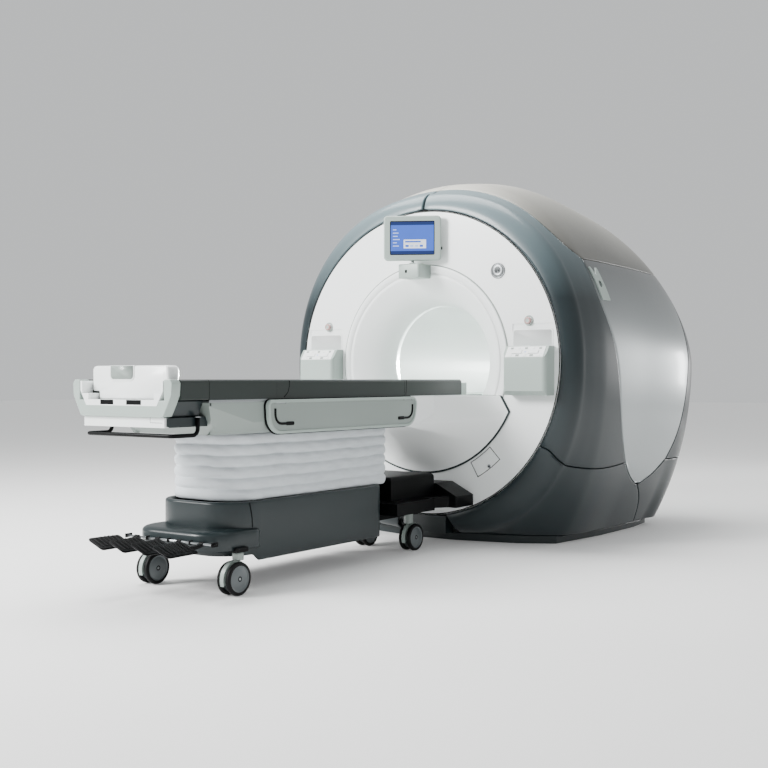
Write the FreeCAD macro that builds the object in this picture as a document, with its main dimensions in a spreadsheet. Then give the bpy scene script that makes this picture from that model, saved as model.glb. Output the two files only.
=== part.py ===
# Whole-body scanner with a detachable patient table: a parametric document in millimetres.
#
# Frame: +Z up, +Y from the patient's end to the service end, +X to the right of someone who
# faces the bore. The origin is on the floor under the middle of the magnet. A "depth" is
# measured back from the front disc's face, so y = depth - magnet_length / 2.

import FreeCAD, Part

import math
import os
import re

from FreeCAD import Placement, Rotation, Vector
from Sketcher import Constraint

# ---------------------------------------------------------------- driving dimensions
SIZES = {
    # magnet enclosure
    "magnet_length": 1800, "iso_height": 1060, "cover_wall": 8,
    "seam_gap": 1.5, "top_seam_gap": 5, "side_seam_gap": 3, "toe_gap": 4,
    "sill_height": 50, "plinth_inset": 45, "plinth_plate": 6,
    "disc_radius": 903, "disc_gap": 4, "disc_wall": 12, "front_roll": 100, "rear_roll": 110,
    "rear_disc_radius": 856, "skirt_wall": 10,
    # bore
    "bore_radius": 350, "liner_wall": 8, "funnel_depth": 260, "funnel_mouth": 520,
    "funnel_lip": 578, "lip_proud": 8, "rear_flare_depth": 150, "rear_mouth": 450,
    "bed_plate": 12,
    # inner magnet
    "vessel_radius": 860, "vessel_bore": 450, "vessel_wall": 10, "vessel_end_gap": 170,
    "gradient_wall": 70, "coil_radius": 520, "coil_former": 12, "coil_depth": 70,
    "saddle_width": 900, "saddle_thick": 120, "saddle_spread": 900,
    "cold_head_radius": 80, "cold_head_height": 240, "cold_head_depth": 1150,
    # the level seam between the side panels and the top cover
    "top_seam": 1655,
    # display, controls and door
    "display_width": 337, "display_height": 263, "display_thick": 48,
    "display_gap": 112, "display_pan_rest": 30, "display_pin_radius": 9, "running_gap": 0.05,
    "mount_width": 150, "mount_reach": 135, "mount_corner": 14,
    "pod_inner": 600, "pod_outer": 868,
    "pod_reach": 110, "pod_top_reach": 62, "key_width": 60, "key_length": 22, "key_proud": 5,
    "key_travel_gap": 0.4, "stop_x": 710, "stop_radius": 20, "stop_proud": 22,
    "stop_stem_radius": 8, "door_inner": 668, "door_outer": 765, "door_start": 46.6,
    "door_end": 60.3, "door_gap": 0.8, "door_wall": 6,
    "hook_height": 190, "hook_width": 100, "hook_wall": 7, "hook_depth": 395,
    # table
    "table_half_width": 310, "table_wall": 8, "table_foot": 2130,
    "table_dock": 652, "bridge_gap": 2, "rail_width": 48, "rail_seam": 1690,
    "rail_gap": 0.8, "frame_plate": 12, "cradle_half_width": 255, "cradle_foot": 2230,
    "cradle_dish": 900, "slide_gap": 0.5, "foot_end": 2350,
    "block_half_width": 190, "block_length": 90, "grip_radius": 36,
    "arm_foot": 1780, "arm_dock": 560, "arm_thick": 22,
    "arm_gap": 6, "arm_corner": 60, "hinge_radius": 9, "hinge_pin": 4, "hinge_length": 60,
    "hinge_inset": 90, "lug_length": 12, "lug_gap": 0.3,
    "handle_radius": 9, "handle_half_width": 270, "handle_y": 2305,
    "handle_root": 2160, "shelf_half_width": 250, "shelf_face": 2335,
    "shelf_lip": 25, "handle_seat": 0.8,
    # lift and base
    "bellows_half_width": 235, "bellows_foot": 1880, "bellows_dock": 710, "bellows_wall": 25,
    "bellows_corner": 150, "dock_end_corner": 50,
    "base_top": 405, "base_bottom": 132, "base_half_width": 250, "base_foot": 1945,
    "base_dock": 760, "base_wall": 6, "base_corner": 165, "apron_half_width": 270,
    "apron_foot": 2060, "apron_top": 288, "apron_length": 330, "apron_bottom": 196,
    "apron_corner": 145, "arch_gap": 8,
    "column_width": 200, "column_length": 300, "column_wall": 10, "column_gap": 0.4,
    "column_top": 600, "column_y": 1310, "mast_bottom": 465, "chassis_level": 190,
    "chassis_plate": 20,
    # docking
    "dock_half_width": 130, "dock_bottom": 210, "dock_top": 427, "dock_end": 337,
    "dock_block_half_width": 200, "dock_corner": 24,
    "wing_half_width": 300, "wing_start": 705, "wing_bottom": 232, "wing_top": 297,
    "receiver_half_width": 350, "receiver_gap": 1, "receiver_shoulder": 210,
    "receiver_top": 366, "receiver_lug": 60,
    # pedals and casters
    "pedal_width": 112, "pedal_pitch": 136, "pedal_end": 2320,
    "pedal_thick": 12, "pedal_level": 232, "pedal_pivot": 9, "pedal_arm": 26,
    "wheel_radius": 75, "wheel_width": 22, "wheel_spread": 9, "axle_radius": 6,
    "fork_trail": 26, "fork_leg": 12, "fork_reach": 92, "fork_crown": 26,
    "fork_crown_level": 156, "stem_radius": 8, "stem_length": 14, "foot_caster_x": 258,
    "foot_caster_y": 1895, "dock_caster_x": 157,
    "dock_caster_y": 386,
    # bridge between table and bore
    "bridge_radius": 650, "bridge_nose": 500, "nose_half_width": 230,
    "bridge_shoulder_x": 585, "bridge_top_x": 530,
    "deck_thin": 22, "bridge_rail_end": 60,
    "fit_gap": 0.3, "lip_seat": 12, "skirt_inset": 12, "bed_web_x": 195, "gradient_inset": 30,
    "strap_width": 60, "strap_gap": 0.9, "hook_gap": 0.3, "hook_lean": 14, "door_gap_turn": 0.07,
    "recess_inset": 6, "recess_deep": 5, "mount_shift": 15,
    "display_pin_reach": 14, "display_pin_gap": 0.5, "display_corner": 22, "screen_width": 263,
    "screen_height": 200, "screen_deep": 3, "pod_chamfer": 24, "pod_corner": 26, "key_spread": 52,
    "key_start": 30, "key_deep": 12, "key_travel": 3, "stop_travel_gap": 8,
    "rail_round": 16, "dock_start": 190, "dock_block_start": 620, "receiver_flare": 120, "hinge_drop": 4.5,
    "cradle_sink": 40, "cradle_end_gap": 8, "grip_half_width": 150,
    "grip_drop": 10, "foot_round": 60, "chassis_wing_length": 80, "stem_end_gap": 1,
    "nose_block_half": 150, "nose_block_depth": 86,
    "pedal_ear": 8, "pedal_shaft_radius": 5, "pedal_neck": 60,
}

# Levels that go with another one: what each is measured from, and how far above it is
LEVELS = {
    "bed_level": ("iso_height", -188), "display_level": ("iso_height", 730),
    "mount_bottom": ("iso_height", 497), "mount_top": ("iso_height", 580),
    "pod_bottom": ("iso_height", -188), "pod_front_top": ("iso_height", 18),
    "pod_top": ("iso_height", 86), "stop_level": ("iso_height", 230), "recess_top": ("iso_height", 214),
    "hook_level": ("iso_height", 450), "bridge_shoulder_z": ("iso_height", -284),
    "table_bottom": ("bed_level", -157), "rail_top": ("bed_level", 88),
    "foot_bottom": ("bed_level", -72), "block_top": ("bed_level", 148), "arm_drop": ("bed_level", -161),
    "arm_top": ("bed_level", -6), "handle_level": ("bed_level", -150),
    "shelf_bottom": ("bed_level", -115), "cradle_top": ("bed_level", 78),
    "nose_level": ("bed_level", -172), "bridge_top_z": ("bed_level", -4),
}

# The enclosure's cross-sections: depth, half width, the crown's height above the bore's axis,
# shoulder exponent, foot half width and how square the lower flank is (1 leans straight in,
# 0.5 is round)
HULL = [
    (100, 1005, 1020, 2.15, 220, 0.50),
    (210, 1022, 1065, 2.12, 560, 0.70),
    (330, 1036, 1105, 2.08, 760, 0.92),
    (800, 1060, 1165, 1.85, 820, 1.00),
    (1300, 1085, 1145, 1.68, 830, 1.00),
    (1560, 1070, 1115, 1.65, 800, 0.90),
    (1690, 1025, 1075, 1.65, 420, 0.55),
]
HULL_KEYS = ("depth", "half_width", "crown", "exponent", "foot", "flank")

doc = FreeCAD.newDocument("scanner")
sheet = doc.addObject("Spreadsheet::Sheet", "dims")
cells = dict(SIZES)
for alias, (origin, rise) in LEVELS.items():
    cells[alias] = "=%s + %d" % (origin, rise)
for index, station in enumerate(HULL):
    for key, number in zip(HULL_KEYS, station):
        cells["hull%d_%s" % (index, key)] = number
for row, (alias, number) in enumerate(cells.items(), start=1):
    sheet.set("A%d" % row, alias)
    sheet.set("B%d" % row, str(number))
    sheet.setAlias("B%d" % row, alias)
doc.recompute()

parts = []


def size(alias):
    """The value of one driving dimension, read from the sheet."""
    return float(sheet.get(alias))


def bound(expression):
    """Point each word of an expression that is a driving dimension at its cell."""
    return re.sub(r"[a-z][a-z0-9_]*", lambda m: "dims." + m.group(0) if m.group(0) in cells
                  else m.group(0), str(expression))


def bind(obj, **properties):
    for name, expression in properties.items():
        obj.setExpression(name.replace("__", "."), bound(expression))
    return obj


def placed(obj, x=0, y=0, z=0):
    return bind(obj, Placement__Base__x=x, Placement__Base__y=y, Placement__Base__z=z)


def part(obj, label):
    """Register a finished object as one piece, named by its label."""
    obj.Label = label
    parts.append(obj)
    return obj


# The front disc's face and the depth of anything, as expressions
FRONT = "-magnet_length / 2"


def depth(expression):
    return "(%s) - magnet_length / 2" % expression


def toward(expression):
    """A place on the patient's side of the disc's face, given as a distance from it."""
    return "-magnet_length / 2 - (%s)" % expression


# ---------------------------------------------------------------- building blocks
def box(name, x_size, y_size, z_size, x, y, z):
    obj = doc.addObject("Part::Box", name)
    bind(obj, Length=x_size, Width=y_size, Height=z_size)
    return placed(obj, x, y, z)


def cylinder(name, radius, length, x, y, z, axis="Z"):
    obj = doc.addObject("Part::Cylinder", name)
    obj.Placement.Rotation = {
        "Z": Rotation(), "Y": Rotation(Vector(1, 0, 0), -90), "X": Rotation(Vector(0, 1, 0), 90)}[axis]
    bind(obj, Radius=radius, Height=length)
    return placed(obj, x, y, z)


def bore_cylinder(name, radius, start, length):
    """A cylinder on the bore's axis that starts at a depth and runs back."""
    return cylinder(name, radius, length, 0, depth(start), "iso_height", "Y")


def cut(name, base, *tools):
    for number, tool in enumerate(tools):
        obj = doc.addObject("Part::Cut", "%s_%d" % (name, number))
        obj.Base = base
        obj.Tool = tool
        base = obj
    return base


def fuse(name, *shapes):
    obj = doc.addObject("Part::MultiFuse", name)
    obj.Shapes = list(shapes)
    return obj


def rounded(name, base, radius, choose):
    """Fillet the edges that choose(middle, direction) picks."""
    doc.recompute()
    obj = doc.addObject("Part::Fillet", name)
    obj.Base = base
    picked = []
    for number, edge in enumerate(base.Shape.Edges, start=1):
        middle = edge.valueAt((edge.FirstParameter + edge.LastParameter) / 2)
        direction = edge.tangentAt(edge.FirstParameter)
        if edge.Curve.TypeId == "Part::GeomLine" and choose(middle, direction):
            picked.append((number, radius, radius))
    obj.Edges = picked
    return obj


def ends_rounded(name, base, foot_radius, dock_radius):
    """Round a box's upright edges: the pair at its foot end and the pair at its dock end."""
    doc.recompute()
    middle = base.Shape.BoundBox.Center.y
    for place, radius in ((-1, foot_radius), (1, dock_radius)):
        base = rounded("%s_round_%d" % (name, place + 1), base, radius,
                       lambda m, d, p=place: abs(d.z) > 0.9 and (m.y - middle) * p > 0)
    return base


def plane_of(body, role):
    return next(item for item in body.Origin.OriginFeatures if item.Role == role)


def sketch_on(body, role, name, offset=None):
    sketch = body.newObject("Sketcher::SketchObject", name)
    sketch.AttachmentSupport = (plane_of(body, role), [""])
    sketch.MapMode = "FlatFace"
    if offset is not None:
        sketch.setExpression("AttachmentOffset.Base.z", bound(offset))
    return sketch


def polygon(sketch, points):
    """A closed outline whose corners are bound to expressions."""
    doc.recompute()
    count = len(points)
    places = [(sketch.evalExpression(bound(u)), sketch.evalExpression(bound(v))) for u, v in points]
    places = [tuple(getattr(n, "Value", n) for n in place) for place in places]
    corners = [Vector(u, v, 0) for u, v in places]
    for i in range(count):
        sketch.addGeometry(Part.LineSegment(corners[i], corners[(i + 1) % count]), False)
    for i in range(count):
        sketch.addConstraint(Constraint("Coincident", i, 2, (i + 1) % count, 1))
    for i, (u, v) in enumerate(points):
        for kind, expression, number in (("DistanceX", u, corners[i].x), ("DistanceY", v, corners[i].y)):
            made = sketch.addConstraint(Constraint(kind, -1, 1, i, 1, number))
            sketch.setExpression("Constraints[%d]" % made, bound(expression))
    return sketch


def pad(body, sketch, length, reverse=False):
    feature = body.newObject("PartDesign::Pad", sketch.Name + "_pad")
    feature.Profile = sketch
    feature.setExpression("Length", bound(length))
    feature.Reversed = reverse
    body.Tip = feature
    return feature


def pocket(body, sketch, length, reverse=False):
    doc.recompute()
    before = body.Shape.Volume
    feature = body.newObject("PartDesign::Pocket", sketch.Name + "_pocket")
    feature.Profile = sketch
    feature.setExpression("Length", bound(length))
    feature.Reversed = reverse
    body.Tip = feature
    doc.recompute()
    if not body.Shape.Volume < before - 1:
        raise RuntimeError("%s cuts nothing" % feature.Name)
    return feature


def soften(body, radius, choose):
    """A PartDesign fillet on the straight edges that choose(middle, direction) picks."""
    doc.recompute()
    base = body.Tip
    names = []
    for number, edge in enumerate(base.Shape.Edges, start=1):
        if edge.Curve.TypeId != "Part::GeomLine":
            continue
        middle = edge.valueAt((edge.FirstParameter + edge.LastParameter) / 2)
        if choose(middle, edge.tangentAt(edge.FirstParameter)):
            names.append("Edge%d" % number)
    feature = body.newObject("PartDesign::Fillet", base.Name + "_round")
    feature.Base = (base, names)
    feature.setExpression("Radius", bound(radius))
    body.Tip = feature
    return feature


def turned(name, points):
    """A ring turned about the bore's axis from an outline of (y, radius)."""
    body = doc.addObject("PartDesign::Body", name)
    sketch = sketch_on(body, "YZ_Plane", name + "_profile")
    sketch.setExpression("AttachmentOffset.Base.y", bound("iso_height"))
    polygon(sketch, points)
    feature = body.newObject("PartDesign::Revolution", name + "_turn")
    feature.Profile = sketch
    feature.ReferenceAxis = (sketch, ["H_Axis"])
    feature.Angle = 360
    body.Tip = feature
    return body


def side_profile(name, points, half_width):
    """A body extruded evenly to both sides of the middle plane from a profile in y and z."""
    body = doc.addObject("PartDesign::Body", name)
    sketch = polygon(sketch_on(body, "YZ_Plane", name + "_profile"), points)
    feature = pad(body, sketch, "2 * (%s)" % half_width)
    feature.Midplane = True
    return body


def computed(label, shape):
    """A piece whose form comes from curves worked out above."""
    obj = doc.addObject("Part::Feature", label)
    obj.Shape = shape
    obj.Placement = Placement()
    return part(obj, label)


# ---------------------------------------------------------------- enclosure form
# A place on the right half of the enclosure is (run, turn): run is measured over the surface from
# the front disc's edge, round the front roll and back, and turn goes from -1 at the sill through 0
# at the bore's height to 1 at the crown.
BASE_TURN = 80
GRID = 28
CORNER_TURN = 0.25
CORNER_STEP = 0.003


def station_value(key, depth_at):
    """One of the section's sizes at a depth: a smooth curve through the stations."""
    xs = [size("hull%d_depth" % i) for i in range(len(HULL))]
    ys = [size("hull%d_%s" % (i, key)) for i in range(len(HULL))]
    slopes = [(ys[min(i + 1, len(xs) - 1)] - ys[max(i - 1, 0)]) /
              (xs[min(i + 1, len(xs) - 1)] - xs[max(i - 1, 0)]) for i in range(len(xs))]
    place = min(max(depth_at, xs[0]), xs[-1])
    i = max(n for n in range(len(xs) - 1) if xs[n] <= place)
    gap = xs[i + 1] - xs[i]
    u = (place - xs[i]) / gap
    return ((2 * u ** 3 - 3 * u ** 2 + 1) * ys[i] + (u ** 3 - 2 * u ** 2 + u) * gap * slopes[i] +
            (3 * u ** 2 - 2 * u ** 3) * ys[i + 1] + (u ** 3 - u ** 2) * gap * slopes[i + 1])


def hull_outline(depth_at, turn):
    half_width, crown, exponent, foot, flank = [station_value(key, depth_at) for key in HULL_KEYS[1:]]
    axis, sill = size("iso_height"), size("sill_height")
    if turn >= 0:
        angle = math.pi / 2 * min(turn, 1)
        return (half_width * max(math.cos(angle), 0) ** (2 / exponent),
                axis + crown * math.sin(angle) ** (2 / exponent))
    share = min(-turn, 1)
    return foot + (half_width - foot) * (1 - share ** 2.2) ** flank, axis + (sill - axis) * share


def ring_outline(radius, turn):
    angle = math.radians(90 * turn if turn >= 0 else BASE_TURN * turn)
    return radius * math.cos(angle), size("iso_height") + radius * math.sin(angle)


def roll_run(kind):
    """How far a roll reaches over the surface."""
    return 1.5 * size(kind + "_roll")


def hull_place(run, turn):
    """The point of the enclosure at (run, turn), with x to the right."""
    length = size("magnet_length")
    front, rear = size("front_roll"), size("rear_roll")
    whole = roll_run("front") + (length - front - rear) + roll_run("rear")
    if run < roll_run("front"):
        angle = math.pi / 2 * run / roll_run("front")
        ring, depth_at = size("disc_radius"), front
        place = front * (1 - math.cos(angle))
    elif run > whole - roll_run("rear"):
        angle = math.pi / 2 * (whole - run) / roll_run("rear")
        ring, depth_at = size("rear_disc_radius"), length - rear
        place = length - rear * (1 - math.cos(angle))
    else:
        x, z = hull_outline(front + run - roll_run("front"), turn)
        return Vector(x, front + run - roll_run("front") - length / 2, z)
    inner, outer = ring_outline(ring + size("disc_gap"), turn), hull_outline(depth_at, turn)
    share = math.sin(angle)
    return Vector(inner[0] + (outer[0] - inner[0]) * share, place - length / 2,
                  inner[1] + (outer[1] - inner[1]) * share)


def run_at(depth_at):
    length = size("magnet_length")
    front, rear = size("front_roll"), size("rear_roll")
    if depth_at < front:
        return roll_run("front") * math.acos(1 - max(depth_at, 0) / front) * 2 / math.pi
    if depth_at > length - rear:
        back = roll_run("rear") * math.acos(1 - max(length - depth_at, 0) / rear) * 2 / math.pi
        return roll_run("front") + length - front - rear + roll_run("rear") - back
    return roll_run("front") + depth_at - front


def on_hull(depth_at, height):
    """(run, turn) of a place given by its depth and its height above the floor."""
    run, low, high = run_at(depth_at), -1.0, 1.0
    while high - low > 1e-9:
        middle = (low + high) / 2
        if hull_place(run, middle).z < height:
            low = middle
        else:
            high = middle
    return run, (low + high) / 2


def reaches(points):
    """How far along a line of (run, turn) places each of them is; a turn of 1 counts as a metre."""
    reach = [0.0]
    for a, b in zip(points, points[1:]):
        reach.append(reach[-1] + math.hypot((b[0] - a[0]) / 1000, b[1] - a[1]))
    return reach


def along(points, share):
    """A place on a line through points, by its share of the line's length."""
    reach = reaches(points)
    goal = share * reach[-1]
    i = min(n for n in range(1, len(points)) if reach[n] >= goal - 1e-9)
    u = (goal - reach[i - 1]) / (reach[i] - reach[i - 1])
    a, b = points[i - 1], points[i]
    return a[0] + (b[0] - a[0]) * u, a[1] + (b[1] - a[1]) * u


def smooth_line(points, count=24):
    """Round a list of (depth, height) corners into a fine line of (run, turn) places."""
    curve = Part.BSplineCurve()
    curve.interpolate([Vector(d, z, 0) for d, z in points])
    first, last = curve.FirstParameter, curve.LastParameter
    places = [curve.value(first + (last - first) * i / count) for i in range(count + 1)]
    return [on_hull(p.x, p.y) for p in places]


def stops(first, second, count):
    """Even steps from 0 to 1, with a close pair of steps round each sharp corner of two lines."""
    spread = [i / count for i in range(count + 1)]
    for line in (first, second):
        reach = reaches(line)
        for i in range(1, len(line) - 1):
            before = math.atan2(line[i][1] - line[i - 1][1], (line[i][0] - line[i - 1][0]) / 1000)
            after = math.atan2(line[i + 1][1] - line[i][1], (line[i + 1][0] - line[i][0]) / 1000)
            if abs(math.remainder(after - before, 2 * math.pi)) > CORNER_TURN:
                share = reach[i] / reach[-1]
                spread = [s for s in spread if abs(s - share) > 2 * CORNER_STEP or s in (0, 1)]
                spread += [share - CORNER_STEP, share + CORNER_STEP]
    return sorted(spread)


def patch(front, rear, bottom, top, count=GRID):
    """Places spread between four border lines of (run, turn)."""
    grid = []
    for u in stops(bottom, top, count):
        row = []
        for v in stops(front, rear, count):
            f, r, b, t = along(front, v), along(rear, v), along(bottom, u), along(top, u)
            corner = [bottom[0], bottom[-1], top[0], top[-1]]
            row.append(tuple(
                (1 - u) * f[k] + u * r[k] + (1 - v) * b[k] + v * t[k] -
                ((1 - u) * (1 - v) * corner[0][k] + u * (1 - v) * corner[1][k] +
                 (1 - u) * v * corner[2][k] + u * v * corner[3][k]) for k in (0, 1)))
        grid.append(row)
    return grid


def outward(run, turn):
    """The direction straight out of the enclosure at a place."""
    whole, run_step, turn_step = run_at(size("magnet_length")), 2.0, 0.004
    back = hull_place(min(run + run_step, whole), turn) - hull_place(max(run - run_step, 0), turn)
    up = hull_place(run, min(turn + turn_step, 1)) - hull_place(run, max(turn - turn_step, -1))
    return back.cross(up).normalize()


def skin(grid, lift, gap):
    """Points of a patch at a distance outside the enclosure's form, drawn in by half a seam."""
    rows = []
    for row in grid:
        points = []
        for run, turn in row:
            point, normal = hull_place(run, turn), outward(run, turn)
            if turn > 0.9999:
                normal = Vector(0, normal.y, normal.z).normalize()
            points.append(point + normal * lift)
        rows.append(points)
    gap = gap / 2
    for row in rows:
        row[0] = row[0] + (row[1] - row[0]).normalize() * gap
        row[-1] = row[-1] + (row[-2] - row[-1]).normalize() * gap
    for j in range(len(rows[0])):
        rows[0][j] = rows[0][j] + (rows[1][j] - rows[0][j]).normalize() * gap
        rows[-1][j] = rows[-1][j] + (rows[-2][j] - rows[-1][j]).normalize() * gap
    return rows


def spline_sheet(poles, degree=2):
    """A smooth surface guided by a net of points."""
    surface = Part.BSplineSurface()
    knots, mults = [], []
    for count in (len(poles), len(poles[0])):
        inner = count - degree - 1
        knots.append([float(n) for n in range(inner + 2)])
        mults.append([degree + 1] + [1] * inner + [degree + 1])
    surface.buildFromPolesMultsKnots(poles, mults[0], mults[1], knots[0], knots[1],
                                     False, False, degree, degree)
    return surface


def panel(grid, lift, wall, gap):
    """A solid sheet over a patch: two smooth faces and the four edges between them."""
    sheets = [spline_sheet(skin(grid, level, gap)) for level in (lift, lift - wall)]
    faces = [surface.toShape() for surface in sheets]
    for first, second in zip(border(sheets[0]), border(sheets[1])):
        faces.append(Part.makeRuledSurface(first, second))
    shell = Part.Shell(Part.Compound(faces).Faces)
    shell.sewShape(0.01)
    solid = Part.Solid(shell.Shells[0] if shell.Shells else shell)
    if solid.Volume < 0:
        solid.reverse()
    return solid


def border(surface):
    u0, u1, v0, v1 = surface.bounds()
    return [surface.uIso(u0).toShape(), surface.uIso(u1).toShape(),
            surface.vIso(v0).toShape(), surface.vIso(v1).toShape()]


# The seams, as (depth, height) corners
PANEL_FRONT = ((325, 1440), (380, 1290), (450, 1100), (515, 840), (612, 600), (714, 462))
PANEL_FOOT = ((714, 462), (832, 372), (958, 314))
PANEL_HEEL = ((982, 314), (1154, 372), (1290, 450))
PANEL_REAR = ((1290, 450), (1366, 571), (1434, 762), (1480, 956), (1512, 1151), (1566, 1385))
SKIRT_SEAM = ((0, 590), (55, 505), (170, 466), (420, 444), (714, 462))
CROWN_SEAM = ((316, 0), (215, 1740), (175, 1860))
SKIRT_SPLIT = ((1175, 50), (1095, 200), (970, 314))
PANEL_CORNERS = (316, 1600)


def regions():
    """The borders of each cover: front, rear, bottom and top lines of (run, turn)."""
    length, top = size("magnet_length"), size("top_seam")
    first, last = PANEL_CORNERS
    ring = CROWN_SEAM[-1][0]
    front_up = smooth_line(list(reversed(PANEL_FRONT)) + [(first, top)])
    foot = smooth_line(list(reversed(PANEL_FOOT)), 12)
    heel = smooth_line(PANEL_HEEL, 12)
    rear_up = smooth_line(list(PANEL_REAR) + [(last, top)])
    crown = smooth_line([(first, top)] + list(CROWN_SEAM[1:]), 12) + [(run_at(ring), 1.0)]
    skirt_top = smooth_line(SKIRT_SEAM)
    split = smooth_line(SKIRT_SPLIT, 8)

    def level(start, end, height, count=12):
        return [on_hull(start + (end - start) * i / count, height) for i in range(count + 1)]

    def straight(first_place, second_place, count=12):
        return [(first_place[0] + (second_place[0] - first_place[0]) * i / count,
                 first_place[1] + (second_place[1] - first_place[1]) * i / count)
                for i in range(count + 1)]
    whole = run_at(length)
    panel_top, rear_top = level(first, last, top), level(last, length, top)
    rear_low = level(PANEL_REAR[0][0], length, PANEL_REAR[0][1])
    toe = [on_hull(d, z + size("toe_gap")) for d, z in (PANEL_FOOT[-1], PANEL_HEEL[0])]
    return {
        "ring_cover": (straight(skirt_top[0], (0.0, 1.0)), front_up + crown[1:], skirt_top,
                       straight((0.0, 1.0), crown[-1])),
        "lower_cover": (straight((0.0, -1.0), skirt_top[0]), split + foot,
                        straight((0.0, -1.0), split[0]), skirt_top),
        "side_panel": (toe[:1] + foot[1:] + front_up[1:], toe[1:] + heel[1:] + rear_up[1:],
                       straight(*toe), panel_top),
        "top_cover": (crown, straight(rear_top[-1], (whole, 1.0)), panel_top + rear_top[1:],
                      straight(crown[-1], (whole, 1.0))),
        "rear_cover": (rear_up, straight(rear_low[-1], rear_top[-1]), rear_low, rear_top),
        "rear_skirt": (split + heel, straight((whole, -1.0), rear_low[-1]),
                       straight(split[0], (whole, -1.0)), rear_low),
    }


def mirrored(shape):
    return shape.mirror(Vector(0, 0, 0), Vector(1, 0, 0))


def make_covers():
    gaps = {"top_cover": "top_seam_gap", "side_panel": "side_seam_gap"}
    for name, lines in regions().items():
        right = panel(patch(*lines), 0, size("cover_wall"), size(gaps.get(name, "seam_gap")))
        computed(name + "_right", right)
        computed(name + "_left", mirrored(right))


def make_hooks():
    """A plate that follows the cover behind each front ring, with a notch and a hole."""
    middle, level = size("hook_depth"), size("hook_level")
    wide, tall, lean = size("hook_width") / 2, size("hook_height") / 2, size("hook_lean")

    def side(offset, slant):
        return [on_hull(middle + offset + slant * (1 - 2 * i / 8), level - tall + tall * i / 4)
                for i in range(9)]
    front, rear = side(-wide, lean), side(wide, lean)
    bottom, top = [front[0], rear[0]], [front[-1], rear[-1]]
    plate = panel(patch(front, rear, bottom, top, 12), size("hook_gap") + size("hook_wall"),
                  size("hook_wall"), 0)
    reach = 1.5 * size("magnet_length")
    y = middle - size("magnet_length") / 2
    hole = Part.makeCylinder(wide * 0.4, reach, Vector(0, y, level), Vector(1, 0, 0))
    notch = Part.Face(Part.makePolygon([Vector(0, y - lean - wide * 0.7, level + tall + 5),
                                        Vector(0, y - lean + wide * 0.7, level + tall + 5),
                                        Vector(0, y - lean, level + tall - wide * 0.9),
                                        Vector(0, y - lean - wide * 0.7, level + tall + 5)]))
    plate = plate.cut(hole).cut(notch.extrude(Vector(reach, 0, 0)))
    right = max(plate.Solids, key=lambda solid: solid.Volume)
    computed("cover_hooks", Part.makeCompound([right, mirrored(right)]))


def floor_outline(inset, level):
    """The enclosure's footprint at the sill, from the same stations."""
    front = -size("magnet_length") / 2
    first = size("hull0_foot")
    last = size("hull%d_foot" % (len(HULL) - 1))
    start, end = front + size("front_roll") * 0.72, -front - size("rear_roll") * 0.7
    right = [Vector(0, start + inset, level), Vector(first * 0.62, start + inset, level)]
    right += [Vector(size("hull%d_foot" % i) - inset, front + size("hull%d_depth" % i), level)
              for i in range(1, len(HULL))]
    right += [Vector(last * 0.66, end - inset, level), Vector(0, end - inset, level)]
    left = [Vector(-p.x, p.y, p.z) for p in reversed(right[1:-1])]
    return Part.Face(Part.makePolygon(right + left + [right[0]]))


def make_plinth():
    plate, sill = size("plinth_plate"), size("sill_height")
    front = -size("magnet_length") / 2
    low = floor_outline(size("plinth_inset"), 0).extrude(Vector(0, 0, sill - plate))
    top = floor_outline(size("cover_wall") * 0.5, sill - plate).extrude(Vector(0, 0, plate))
    shape = low.fuse(top)
    for radius, start, step in (("disc_radius", front + size("disc_wall") + 2, 1),
                                ("rear_disc_radius", -front - size("disc_wall") - 2, -1)):
        tall = size("iso_height") - size(radius) - size("disc_gap") - sill
        deep = size("nose_block_depth")
        shape = shape.fuse(Part.makeBox(2 * size("nose_block_half"), deep, tall, Vector(
            -size("nose_block_half"), start if step > 0 else start - deep, sill)))
    computed("plinth", shape.removeSplitter())


# ---------------------------------------------------------------- magnet
def make_vessel():
    length = "magnet_length - 2 * vessel_end_gap"
    drum = bore_cylinder("vessel_drum", "vessel_radius", "vessel_end_gap", length)
    inner = "vessel_end_gap + vessel_wall"
    cavity = cut("vessel_cavity",
                 bore_cylinder("vessel_room", "vessel_radius - vessel_wall", inner,
                               length + " - 2 * vessel_wall"),
                 bore_cylinder("vessel_tube", "vessel_bore + vessel_wall", "vessel_end_gap", length))
    saddles = []
    for number, side in enumerate((-1, 1)):
        block = box("saddle_block_%d" % number, "saddle_width", "saddle_thick",
                    "iso_height - vessel_radius * 0.8 - sill_height", "-saddle_width / 2",
                    "%d * saddle_spread / 2 - saddle_thick / 2" % side, "sill_height")
        room = bore_cylinder("saddle_room_%d" % number, "vessel_radius - vessel_wall / 2", 0,
                             "magnet_length")
        saddles.append(cut("saddle_%d" % number, block, room))
    body = fuse("vessel_solid", drum, *saddles)
    bore = bore_cylinder("vessel_warm_bore", "vessel_bore", 0, "magnet_length")
    part(cut("vessel", body, cavity, bore), "vacuum_vessel")


# main windings along the former: start and width as shares of its length
WINDINGS = ((0.0, 0.14), (0.24, 0.09), (0.42, 0.05), (0.53, 0.05), (0.67, 0.09), (0.86, 0.14))


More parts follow.
